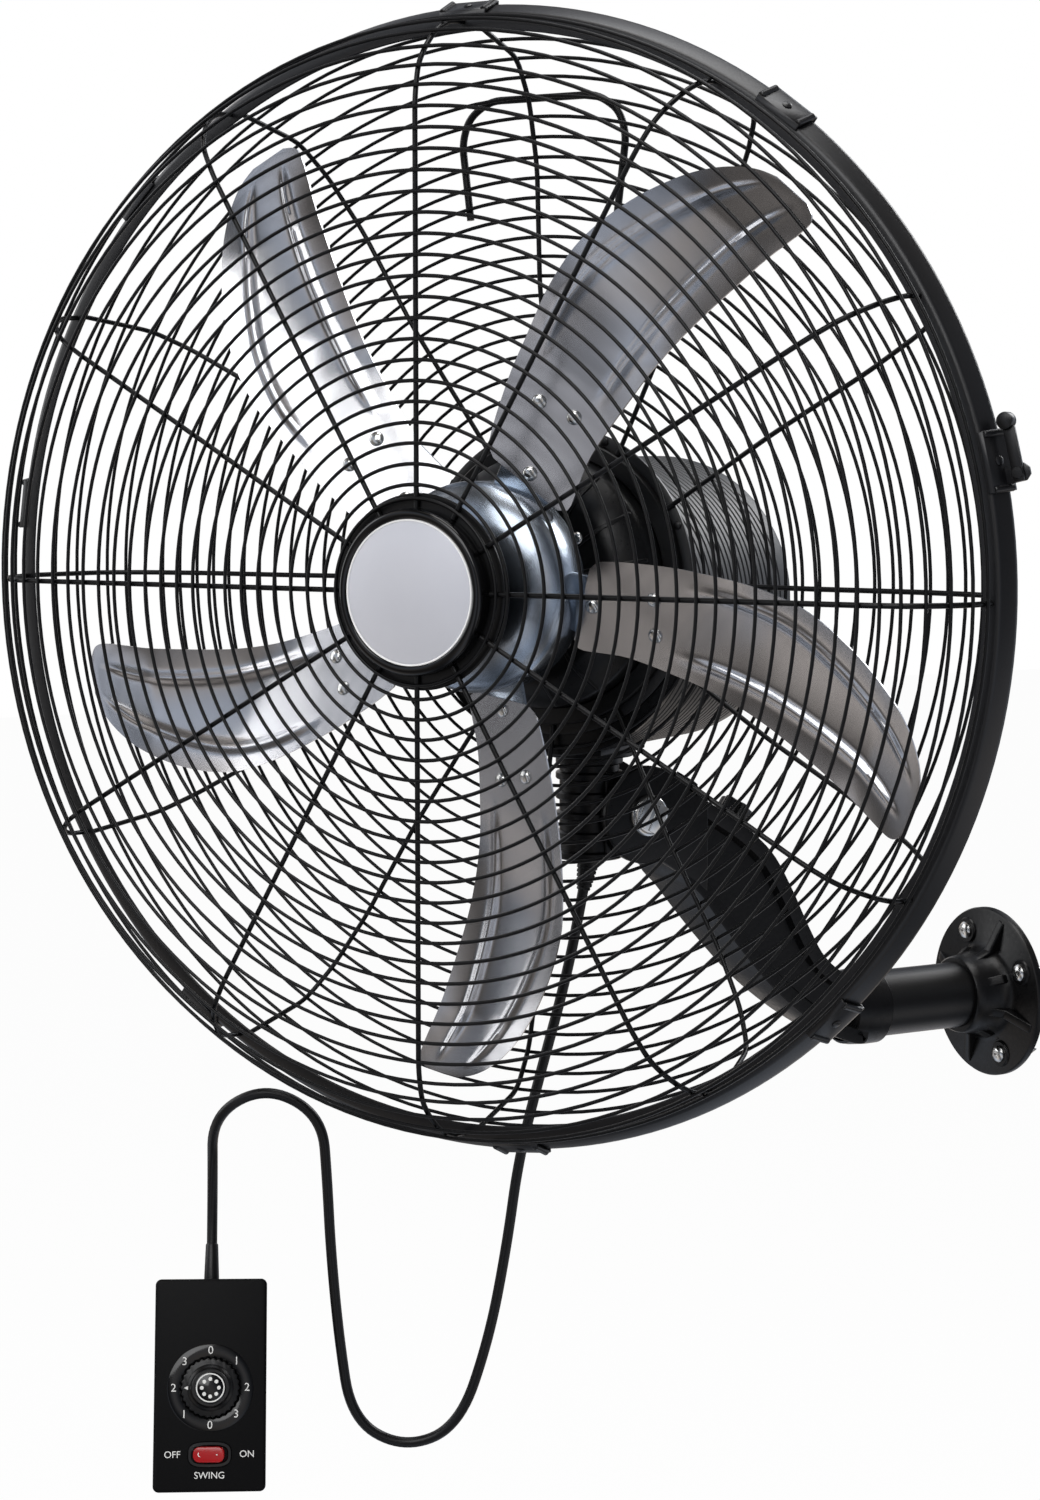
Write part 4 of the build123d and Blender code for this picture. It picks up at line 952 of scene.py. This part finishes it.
def cross_head(shape: Shape, seat: Matrix, radius: float, height: float) -> None:
    """A pan-head screw whose cross stands a hair proud of the head, so that it catches the light.

    Args:
        shape: The shape it goes into.
        seat: Where it stands.
        radius: Radius of the head.
        height: Height of the head.
    """
    head = [(0, 0), (radius, 0), (radius, height * 0.35), (radius * 0.8, height * 0.8),
            (radius * 0.45, height), (0, height)]
    shape.turned(head, 28, False, seat)
    long, wide = radius * 0.5, radius * 0.12
    bar = [(-long, -wide), (long, -wide), (long, wide), (-long, wide)]
    for turn in (35, 125):
        shape.slab(bar, height * 0.9, height * 1.06, 0, 1, seat @ spin_z(turn))


# ---------------------------------------------------------------- bracket
@dataclass
class WallBracket:
    """The wall flange, its tube, the curved arm casting and the tilt joint."""

    knuckle: float = 32.0
    screws: int = 4
    screw_circle: float = 46.0
    screw_turn: float = 26.0
    blank: float = 30.0   # half the width the arm is drawn at, before it is slimmed

    def flange(self) -> None:
        """The cast flange, its screws and the tube."""
        shape = Shape(WALL)
        shape.turned([(0, 0), (59.3, 0), (60, 0.7), (60, 4.4), (59.2, 5.6), (57.6, 6.1), (36, 6.4),
                      (32.4, 8.4), (30, 14), (27.8, 25), (27, 30.8), (26, 32), (23.2, 32), (23.2, 8),
                      (0, 8)], 144, False)
        for k in range(2 * self.screws):
            reach = 36 if k % 2 == 0 else 56   # short webs run to the screw pads, long ones between
            web = [(23.6, 5), (reach, 5), (reach, 6.8), (reach - 4, 8.2), (33.5, 13), (29, 20),
                   (26.5, 27.5), (23.6, 29)]
            shape.slab(web, -3.2, 3.2, 1.3, 3, tangent_turn(self.screw_turn + 45 * k))
        spots = [polar(self.screw_circle, self.screw_turn + 90 * k) for k in range(self.screws)]
        for x, y in spots:
            shape.turned([(0, 5), (9.4, 5), (9.1, 7.3), (8.4, 8), (0, 8)], 40, False, shift(x, y))
        shape.done("wall_flange_cast", CAST_PAINT, "wall_arm", ["wall_flange"])
        screws = Shape(WALL)
        for x, y in spots:
            cross_head(screws, shift(x, y, 8), 6, 3.2)
            screws.turned([(0, -26), (2.8, -20), (2.8, 8.1), (0, 8.1)], 16, False, shift(x, y))
        screws.done("wall_screws_turned", ZINC_PLATE, "wall_arm", ["wall_screws"])
        tube = Shape(WALL)
        tube.turned([(20, 8), (23, 8), (23, 124), (20, 124)], 96)
        tube.done("arm_tube_drawn", SHELL_PAINT, "wall_arm", ["arm_tube"])

    def half_width(self, y: float) -> float:
        """Half the arm's width, slim at the tube and wide at the fork.

        Args:
            y: Place along the arm, falling from the wall.

        Returns:
            The half width there.
        """
        if y > -170:
            return 21 + 3 * (-100 - y) / 70
        return 24 + 6 * min(1.0, (-170 - y) / 92)

    def casting(self) -> None:
        """The curved arm with its two cheeks."""
        shape = Shape(SIDE)
        body = flowing([(-124, 22), (-142, 28), (-160, 42), (-174, 64), (-188, 90), (-204, 115),
                        (-224, 133), (-246, 147), (-266, 159), (-276, 166), (-276, 137), (-276, 108),
                        (-262, 91), (-245, 70), (-226, 48), (-205, 26), (-185, 9), (-164, -6),
                        (-144, -17), (-124, -21), (-122, 0)])
        shape.slab(body, -self.blank, self.blank)
        sides = [f for f in shape.bm.faces if len(f.verts) > 8]
        bmesh.ops.inset_region(shape.bm, faces=sides, thickness=1.6, depth=0.0)
        rim = {e for f in sides for e in f.edges}
        bmesh.ops.inset_region(shape.bm, faces=sides, thickness=8.0, depth=0.0)
        bmesh.ops.inset_region(shape.bm, faces=sides, thickness=2.2, depth=-7.0)
        outer = [e for e in shape.bm.edges if len(e.link_faces) == 2 and e not in rim
                 and e.calc_face_angle(0) > math.radians(60)
                 and abs(abs(e.verts[0].co.z) - self.blank) < 0.01
                 and abs(e.verts[0].co.z - e.verts[1].co.z) < 0.01]
        ease(shape.bm, outer, 1.5, 3)
        for v in shape.bm.verts:
            v.co.z *= self.half_width(v.co.x) / self.blank
        knuckle = [polar(self.knuckle, a) for a in range(60, 290, 6)]
        cheek = [(TILT_Y + x, TILT_Z + y) for x, y in knuckle]
        cheek += [(-272, 104), (-258, 94), (-258, 153)]
        for low, high in ((-30.05, -22.6), (22.6, 30.05)):
            shape.slab(cheek, low, high, 1.4, 3, rims_only=True)
        shape.done("arm_cast", CAST_PAINT, "wall_arm", ["arm_casting"])
        collar = Shape(WALL)
        collar.turned([(23.2, 104), (25.8, 104), (26.8, 105.2), (26.9, 114), (26, 126), (25, 131),
                       (23.2, 132)], 96)
        collar.done("arm_collar_cast", CAST_PAINT, "wall_arm")
        boss = Shape(CLAMP)
        boss.turned([(4.2, -6), (8.6, -6), (8.2, 3), (7.4, 4), (4.2, 4)], 40)
        boss.done("clamp_boss_cast", CAST_PAINT, "wall_arm")

    def joint(self) -> None:
        """The slotted bolt, its nut and the lobed clamp knob."""
        bolt = Shape(SIDE.moved(TILT_Y, TILT_Z))
        bolt.turned([(0, -41), (6, -41), (6, 30), (14, 30), (14, 31.6), (13.2, 33.4), (11.4, 34.6),
                     (10, 35), (0, 35)], 64, False)
        bar = [(-9.6, -3.6), (9.6, -3.6), (9.6, 3.6), (-9.6, 3.6)]
        for y in (-1, 1):   # two pads leave the slot between them
            bolt.slab(bar, 34.2, 35.6, 0.4, 2, spin_z(62) @ shift(0, y * 5.2))
        bolt.done("tilt_bolt_turned", ZINC_PLATE, "wall_arm", ["tilt_bolt"])
        nut = Shape(SIDE.moved(TILT_Y, TILT_Z))
        nut.turned([(6.2, -31.6), (12, -31.6), (12, -30), (6.2, -30)], 48)
        nut.slab([polar(10.5, 60 * i) for i in range(6)], -39.6, -31.6, 0.7, 2)
        nut.done("tilt_nut_turned", ZINC_PLATE, "wall_arm", ["tilt_nut"])
        knob = Shape(CLAMP)
        lobes = []
        for i in range(60):
            a = math.radians(6 * i)
            reach = 10.9 + 1.6 * math.cos(5 * a)
            lobes.append((reach * math.cos(a), reach * math.sin(a)))
        knob.slab(lobes, 4.3, 17.3, 1.4, 3, rims_only=True)
        knob.turned([(0, -8), (4, -8), (4, 5), (0, 5)], 20, False)
        knob.done("tilt_knob_moulded", KNOB_ABS, "clamp_knob", ["tilt_knob"])

    def build(self) -> None:
        """Makes the bracket."""
        self.flange()
        self.casting()
        self.joint()


# ---------------------------------------------------------------- neck and cord
@dataclass
class Neck:
    """The ribbed neck that tilts, and the cord that hangs from it to the control box."""

    cord_mm: float = 7.0
    cord_length: float = 0.8313

    def housing(self) -> None:
        """The ribbed housing with its lug."""
        shape = Shape(PAN)
        line = [(9.2, 119)]
        for low in (119, 132, 145, 158, 171, 181):
            line += [(19.5, low - 0.5)] if low > 119 else []
            line += [(21.2, low), (22, low + 0.8), (22, low + 4.2), (21.2, low + 5), (19.5, low + 5.5)]
        line[-1] = (9.2, 186)
        shape.turned(line, 96)
        shape.turned([(5.2, 119), (9.4, 119), (9.4, 122), (5.2, 122)], 48)
        shape.done("neck_cast", CAST_PAINT, "neck", ["neck_housing"])
        lug = Shape(SIDE)
        ear = [polar(25, a) for a in range(-95, 106, 8)]
        outline = [(SWING_Y, 122)] + [(TILT_Y + x, TILT_Z + y) for x, y in ear] + [(SWING_Y, 178)]
        lug.slab(outline, -21.3, 21.3, 1.6, 3, rims_only=True)
        lug.done("neck_lug_cast", CAST_PAINT, "neck")

    def cord(self) -> None:
        """The cord: one spline through the route's own points, from the neck to the box."""
        route = [(-1.79, -334.69, 97.32), (-3.9, -338.57, 71.7), (-8.12, -346.34, 30.0),
                 (-15.05, -359.07, -24.0), (-21.97, -371.81, -82.0), (-25.79, -378.84, -142.0),
                 (-31.53, -389.38, -206.0), (-41.08, -406.95, -266.0), (-58.75, -439.46, -281.0),
                 (-75.47, -470.21, -261.0), (-79.29, -477.24, -204.0), (-81.68, -481.63, -145.0),
                 (-82.64, -483.39, -98.0), (-84.07, -486.02, -54.0), (-105.26, -516.62, -34.5),
                 (-129.96, -545.3, -56.0), (-159.4, -533.37, -107.11), (-146.87, -539.61, -148.83)]
        curve = bpy.data.curves.new("cord_sheath", "CURVE")
        curve.dimensions = "3D"
        curve.bevel_depth = self.cord_mm / 2 * MM
        curve.bevel_resolution = 5
        curve.use_fill_caps = True
        spline = curve.splines.new("NURBS")
        spline.points.add(len(route) - 1)
        for point, at in zip(spline.points, route):
            point.co = (*[c * MM for c in at], 1.0)
        spline.order_u = 3
        spline.use_endpoint_u = True
        spline.resolution_u = 10
        piece = bpy.data.objects.new("cord_sheath", curve)
        bpy.context.scene.collection.objects.link(piece)
        dress(piece, CORD_PVC, "neck", ["cord"])

    def relief(self, name: str, node_name: str, start: Vector, end: Vector,
               radii: tuple[float, float], rings: int) -> None:
        """A tapered strain relief, plain or with flexing grooves.

        Args:
            name: The piece's name.
            node_name: The CAD node it stands for.
            start: Its wide end, in millimetres of the part's frame.
            end: Its narrow end.
            radii: Its radius at each end.
            rings: How many grooves it has.
        """
        length = (end - start).length
        line = [(0, 0), (radii[0], 0), (radii[0], 2.0)]
        for k in range(rings):
            low = 3.0 + (length - 4.5) * k / rings
            thick = radii[0] + (radii[1] - radii[0]) * low / length
            line += [(thick, low), (thick, low + 1.7), (thick - 0.9, low + 2.1), (thick - 0.9, low + 2.8)]
        line += [(radii[1], length - 0.8), (radii[1] - 0.4, length), (0, length)]
        aim = (end - start).normalized()
        shape = Shape(Place(tuple(start), tuple(aim.orthogonal()), tuple(aim)))
        shape.turned(line, 40, False)
        shape.done(name, CORD_PVC, "neck", [node_name])

    def build(self) -> None:
        """Makes the neck and the cord."""
        self.cord()
        self.housing()
        self.relief("neck_relief_moulded", "neck_relief", Vector((0, SWING_Y, 119)),
                    Vector((-1.79, -334.69, 97.32)), (7.6, 4.6), rings=6)
        low = BOX.matrix() @ Vector((0, 69, 0)) / MM
        high = BOX.matrix() @ Vector((0, 93, 0)) / MM
        self.relief("box_relief_moulded", "box_relief", low, high, (5.0, 4.2), rings=0)


# ---------------------------------------------------------------- control box
@dataclass
class ControlBox:
    """The hand-held box with its speed dial and swing rocker."""

    width: float = 74.0
    height: float = 138.0
    half: float = 17.0
    knob_y: float = -2.0
    rocker_y: float = -45.0
    figures: str = "01230123"
    figure_circle: float = 24.2
    figure_size: float = 7.4
    word_size: float = 6.2
    rocker_lean: float = -8.0
    frame_power: float = 3.2   # 2 would make the frame's outline an ellipse, more squares it

    def rounded_slab(self, shape: Shape, size: tuple[float, float], corner: float, low: float,
                     high: float, bevel: float) -> None:
        """A slab with rounded corners and eased rims.

        Args:
            shape: The shape it goes into.
            size: Width and height of the outline.
            corner: Radius of its corners.
            low: Height of the first face.
            high: Height of the second face.
            bevel: Size of the rims' rounding.
        """
        w, h = size
        outline = []
        for (sx, sy), start in (((1, 1), 0), ((-1, 1), 90), ((-1, -1), 180), ((1, -1), 270)):
            for k in range(9):
                x, y = polar(corner, start + k * 90 / 8)
                outline.append((sx * (w / 2 - corner) + x, sy * (h / 2 - corner) + y))
        shape.slab(outline, low, high, bevel, 4, rims_only=True)

    def case(self) -> None:
        """The two half shells and the screws in the back."""
        back = Shape(BOX)
        self.rounded_slab(back, (self.width - 1, self.height - 1), 4, -self.half, -1, 1.6)
        back.done("box_back_moulded", BOX_ABS, "neck", ["box_back"])
        front = Shape(BOX)
        self.rounded_slab(front, (self.width, self.height), 4, -1, self.half, 1.8)
        front.done("box_front_moulded", BOX_ABS, "neck", ["box_front"])
        screws = Shape(BOX)
        flip = Matrix.Rotation(math.pi, 4, "X")
        for x in (-30, 30):
            for y in (-62, 62):
                cross_head(screws, shift(x, y, -self.half) @ flip, 3, 1.5)
        screws.done("box_screws_turned", TURNED_STEEL, "neck", ["box_screws"])

    def dial(self) -> None:
        """The dial ring with its figures, and the knob with its pointer."""
        ring = Shape(BOX.moved(0, self.knob_y))
        ring.turned([(4.3, 16.9), (28.4, 16.9), (28.4, 17.5), (27.8, 17.8), (20.4, 17.8), (20, 17.6),
                     (4.3, 17.6)], 96)
        ring.done("dial_plate_moulded", GLOSS_ABS, "neck", ["dial_plate"])
        ink = Shape(BOX.moved(0, self.knob_y))
        for k, figure in enumerate(self.figures):
            x, y = polar(self.figure_circle, 90 - 45 * k)
            lettering(ink, figure, self.figure_size, shift(x, y, 17.84))
        ink.done("dial_figures", PRINT_WHITE, "neck", whole=False)
        knob = Shape(BOX.moved(0, self.knob_y))
        outline = []
        for i in range(120):
            reach = 18.9 + 0.5 * math.cos(math.radians(3 * i * 30))   # thirty grips round it
            outline.append(polar(reach, 3 * i))
        knob.slab(outline, 18.2, 22.4, 0.8, 2, rims_only=True)
        knob.turned([(0, 22.2), (15.4, 22.2), (14.6, 23.4), (13.2, 24.6), (12.6, 29), (11.8, 30),
                     (0, 30)], 72, False)
        knob.turned([(0, 1), (3, 1), (3, 19), (0, 19)], 24, False)
        knob.done("speed_knob_moulded", KNOB_ABS, "speed_dial", ["speed_knob"])
        cap = Shape(BOX.moved(0, self.knob_y))
        cap.turned([(0, 29.9), (10.4, 29.9), (10.4, 30.5), (9.8, 30.9), (0, 31.05)], 72, False)
        cap.done("knob_cap_moulded", GLOSS_ABS, "speed_dial", ["knob_cap"])
        marks = Shape(BOX.moved(0, self.knob_y))
        marks.slab([(-17.4, 0), (-13.4, -1.9), (-13.4, 1.9)], 22.5, 23.3)
        marks.turned([(8.6, 30.86), (9.4, 30.86), (9.4, 31.1), (8.6, 31.1)], 64)
        for k in range(8):
            x, y = polar(5.6, 45 * k)
            marks.turned([(0, 30.96), (1.25, 30.96), (1.25, 31.14), (0, 31.14)], 20, False, shift(x, y))
        marks.done("knob_marks", PRINT_WHITE, "speed_dial")

    def rocker(self) -> None:
        """The red swing rocker in its frame, with the words beside it."""
        surround = Shape(BOX.moved(0, self.rocker_y))
        edge = [(14.3, 17), (14.5, 17.6), (13.9, 18.5), (12.3, 18.6), (11.6, 18.0), (11.6, 5)]
        loops = []
        power = self.frame_power
        for k in range(72):
            a = math.radians(5 * k)
            c, s = math.cos(a), math.sin(a)
            grow = (abs(c) ** power + abs(s) ** power) ** (-1 / power)
            loops.append((c * grow, s * grow))
        rows = [[surround.bm.verts.new((x * r, y * (r - 6.0), z)) for x, y in loops] for r, z in edge]
        for a, b in zip(rows, rows[1:]):
            ring_edges = []
            for row in (a, b):
                for i in range(len(row)):
                    pair = (row[i], row[(i + 1) % len(row)])
                    ring_edges.append(surround.bm.edges.get(pair) or surround.bm.edges.new(pair))
            bmesh.ops.bridge_loops(surround.bm, edges=ring_edges)
        surround.done("rocker_frame_moulded", GLOSS_ABS, "neck", ["rocker_frame"])
        rocker = Shape(BOX.moved(0, self.rocker_y))
        lean = shift(0, 0, 14) @ Matrix.Rotation(math.radians(self.rocker_lean), 4, "Y")
        stand = lean @ Matrix.Rotation(math.pi / 2, 4, "X")
        outline = [(-9, 2), (9, 2), (9, -1), (3, -8), (-3, -8), (-9, -1)]
        rocker.slab(outline, -4.6, 4.6, 0.5, 2, stand, rims_only=True)
        before = set(rocker.bm.verts)
        self.rounded_slab(rocker, (20.8, 10.2), 4.3, 0.5, 5.6, 0.9)
        button = [v for v in rocker.bm.verts if v not in before]
        for v in button:
            v.co.z += 0.5 * (v.co.x / 10.4) ** 2 - 0.4 if v.co.z > 3 else 0.0
        bmesh.ops.transform(rocker.bm, matrix=lean, verts=button)
        rocker.turned([(0, -5.7), (1.2, -5.7), (1.2, 5.7), (0, 5.7)], 24, False, stand)
        rocker.done("swing_rocker_moulded", RED_ABS, "rocker", ["swing_rocker"])
        signs = Shape(BOX.moved(0, self.rocker_y))
        for sign, size, at, dip in (("O", 5.2, (-5.2, 0, 5.42), 0.05),
                                    ("-", 6.5, (5.2, 0.4, 5.42), -0.05)):
            lettering(signs, sign, size, lean @ shift(*at) @ Matrix.Rotation(dip, 4, "Y"))
        signs.done("rocker_signs", PRINT_WHITE, "rocker", whole=False)
        words = Shape(BOX)
        for word, x, drop in (("OFF", -24.5, 0), ("ON", 24.5, 0), ("SWING", 0, 13.5)):
            lettering(words, word, self.word_size, shift(x, self.rocker_y - drop, self.half + 0.02))
        words.done("box_words", PRINT_WHITE, "neck", whole=False)

    def build(self) -> None:
        """Makes the control box."""
        self.case()
        self.dial()
        self.rocker()


# ---------------------------------------------------------------- carried-over nodes
def dress_hidden_nodes() -> None:
    """Gives the solids that stay as they are their real finishes."""
    kept = {"swing_motor": TURNED_STEEL, "speed_switch": KNOB_ABS, "stator_core": TURNED_STEEL,
            "stator_windings": WINDING_COPPER, "bearings": ZINC_PLATE, "rotor_shaft": TURNED_STEEL,
            "rotor_core": TURNED_STEEL}
    for name, finish in kept.items():
        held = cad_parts[name]
        held.data.materials.clear()
        held.data.materials.append(finish.make())


# ---------------------------------------------------------------- studio
@dataclass
class Studio:
    """The camera, the pale floor and the soft lights."""

    camera_at: tuple[float, float, float] = (1.62383, -1.26579, 0.38851)
    azimuth: float = 61.466
    elevation: float = 6.068
    lens: float = 69.287
    floor_z: float = -1.15
    floor_half: float = 14.0
    panel_scale: float = 0.5
    panel_phase: float = 0.6
    dark_panel: float = 0.17
    pale_panel: float = 1.1
    room_light: float = 0.42
    floor_glow: float = 0.96
    aim_at: tuple[float, float, float] = (0.05, -0.45, 0.15)
    lamps: Sequence[tuple[str, tuple[float, float, float], tuple[float, float], float]] = (
        ("key_softbox", (1.9, -2.6, 2.2), (2.4, 2.0), 60),
        ("fill_softbox", (-1.8, -2.4, 1.0), (1.8, 2.0), 26),
        ("top_softbox", (0.2, -0.3, 2.4), (1.6, 1.2), 26),
        ("rear_softbox", (-0.5, 1.9, 1.6), (1.2, 1.2), 26))

    def camera(self) -> None:
        """Places the camera where the photograph was taken."""
        made = bpy.data.cameras.new("camera")
        made.sensor_fit, made.sensor_height, made.lens = "VERTICAL", 36.0, self.lens
        made.clip_start, made.clip_end = 0.05, 100.0
        holder = bpy.data.objects.new("camera", made)
        bpy.context.scene.collection.objects.link(holder)
        a, e = math.radians(self.azimuth), math.radians(self.elevation)
        back = Vector((math.sin(a) * math.cos(e), -math.cos(a) * math.cos(e), math.sin(e)))
        holder.location = self.camera_at
        holder.rotation_mode = "QUATERNION"
        holder.rotation_quaternion = (-back).to_track_quat("-Z", "Y")
        bpy.context.scene.camera = holder

    def panels(self, tree: bpy.types.NodeTree) -> tuple[bpy.types.NodeSocket, bpy.types.NodeSocket]:
        """What a shiny surface sees: soft pale and dark panels, some warm and some cool.

        Args:
            tree: The node tree they go into.

        Returns:
            The sockets of their brightness and their colour.
        """
        look = node(tree, "ShaderNodeNewGeometry").outputs["Incoming"]
        bands = node(tree, "ShaderNodeTexWave",
                     {"Vector": look, "Scale": self.panel_scale, "Distortion": 1.6, "Detail": 0.0,
                      "Phase Offset": self.panel_phase}, bands_direction="DIAGONAL")
        level = node(tree, "ShaderNodeMapRange", {"Value": bands.outputs["Fac"], "To Min": self.dark_panel,
                                                  "To Max": self.pale_panel})
        patch = node(tree, "ShaderNodeTexNoise", {"Vector": look, "Scale": 1.6, "Detail": 0.0})
        tint = node(tree, "ShaderNodeMapRange", {"Value": patch.outputs["Fac"], "From Min": 0.35,
                                                 "From Max": 0.65})
        cool, warm = linear("#dfe8f8"), linear("#f4ebe4")
        shade = node(tree, "ShaderNodeMix", {0: tint.outputs[0], 6: cool, 7: warm}, data_type="RGBA")
        return level.outputs[0], shade.outputs[2]

    def white(self, material: bpy.types.Material) -> None:
        """A matt white floor that shows white to the camera and panels to a shiny surface.

        Args:
            material: The material that is made so.
        """
        material.use_nodes = True
        tree = material.node_tree
        tree.nodes.clear()
        seen = node(tree, "ShaderNodeLightPath")
        grain = node(tree, "ShaderNodeTexNoise", {"Scale": 3.0})
        tone = node(tree, "ShaderNodeMix", {0: grain.outputs["Fac"], 6: linear("#f4f4f4"),
                                            7: linear("#f6f6f6")}, data_type="RGBA")
        matt = node(tree, "ShaderNodeBsdfDiffuse", {"Color": tone.outputs[2]})
        glow = node(tree, "ShaderNodeEmission", {"Color": (1, 1, 1, 1), "Strength": 1.0})
        part = node(tree, "ShaderNodeMath", {0: seen.outputs["Is Camera Ray"], 1: self.floor_glow},
                    operation="MULTIPLY")
        mixed = node(tree, "ShaderNodeMixShader", {0: part.outputs[0], 1: matt.outputs[0],
                                                   2: glow.outputs[0]})
        level, shade = self.panels(tree)
        mirror = node(tree, "ShaderNodeEmission", {"Color": shade, "Strength": level})
        final = node(tree, "ShaderNodeMixShader", {0: seen.outputs["Is Glossy Ray"], 1: mixed.outputs[0],
                                                   2: mirror.outputs[0]})
        node(tree, "ShaderNodeOutputMaterial", {"Surface": final.outputs[0]})

    def floor(self) -> None:
        """The wide pale floor under the fan."""
        bm = bmesh.new()
        bmesh.ops.create_grid(bm, x_segments=1, y_segments=1, size=self.floor_half,
                              matrix=Matrix.Translation((0, 0, self.floor_z)))
        mesh = bpy.data.meshes.new("studio_floor")
        bm.to_mesh(mesh)
        bm.free()
        piece = bpy.data.objects.new("studio_floor", mesh)
        bpy.context.scene.collection.objects.link(piece)
        paint = bpy.data.materials.new("studio_white")
        self.white(paint)
        mesh.materials.append(paint)

    def lamp(self, name: str, at: Sequence[float], size: tuple[float, float], watts: float) -> None:
        """One soft area lamp aimed at the fan.

        Args:
            name: The lamp's name.
            at: Where it stands.
            size: Its width and height.
            watts: Its power.
        """
        light = bpy.data.lights.new(name, "AREA")
        light.shape, light.size, light.size_y, light.energy = "RECTANGLE", size[0], size[1], watts
        holder = bpy.data.objects.new(name, light)
        bpy.context.scene.collection.objects.link(holder)
        holder.location = at
        aim = Vector(self.aim_at) - Vector(at)
        holder.rotation_mode = "QUATERNION"
        holder.rotation_quaternion = aim.to_track_quat("-Z", "Y")

    def world(self) -> None:
        """A room that is white to the camera, dimmer as a light, and in panels as a reflection."""
        world = bpy.data.worlds.new("studio_room")
        world.use_nodes = True
        bpy.context.scene.world = world
        tree = world.node_tree
        tree.nodes.clear()
        seen = node(tree, "ShaderNodeLightPath")
        level, shade = self.panels(tree)
        glossy = seen.outputs["Is Glossy Ray"]
        open_air = node(tree, "ShaderNodeMapRange", {"Value": seen.outputs["Is Camera Ray"],
                                                     "To Min": self.room_light, "To Max": 1.0})
        strength = node(tree, "ShaderNodeMix", {0: glossy, 2: open_air.outputs[0], 3: level})
        colour = node(tree, "ShaderNodeMix", {0: glossy, 6: (1, 1, 1, 1), 7: shade}, data_type="RGBA")
        room = node(tree, "ShaderNodeBackground", {"Color": colour.outputs[2],
                                                   "Strength": strength.outputs[0]})
        node(tree, "ShaderNodeOutputWorld", {"Surface": room.outputs[0]})

    def build(self) -> None:
        """Sets up the studio."""
        self.camera()
        self.floor()
        self.world()
        for name, at, size, watts in self.lamps:
            self.lamp(name, at, size, watts)
        bpy.context.scene.view_settings.view_transform = "Standard"


def main() -> None:
    """Builds the studio and every sub-assembly in order."""
    logging.basicConfig(level=logging.INFO, format="%(message)s")
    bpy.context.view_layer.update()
    Studio().build()
    parts: Sequence[object] = (Neck(), Cage(), Badge(), Rotor(), Motor(), WallBracket(), ControlBox())
    for part in parts:
        part.build()
    dress_hidden_nodes()


if __name__ == "__main__":
    main()
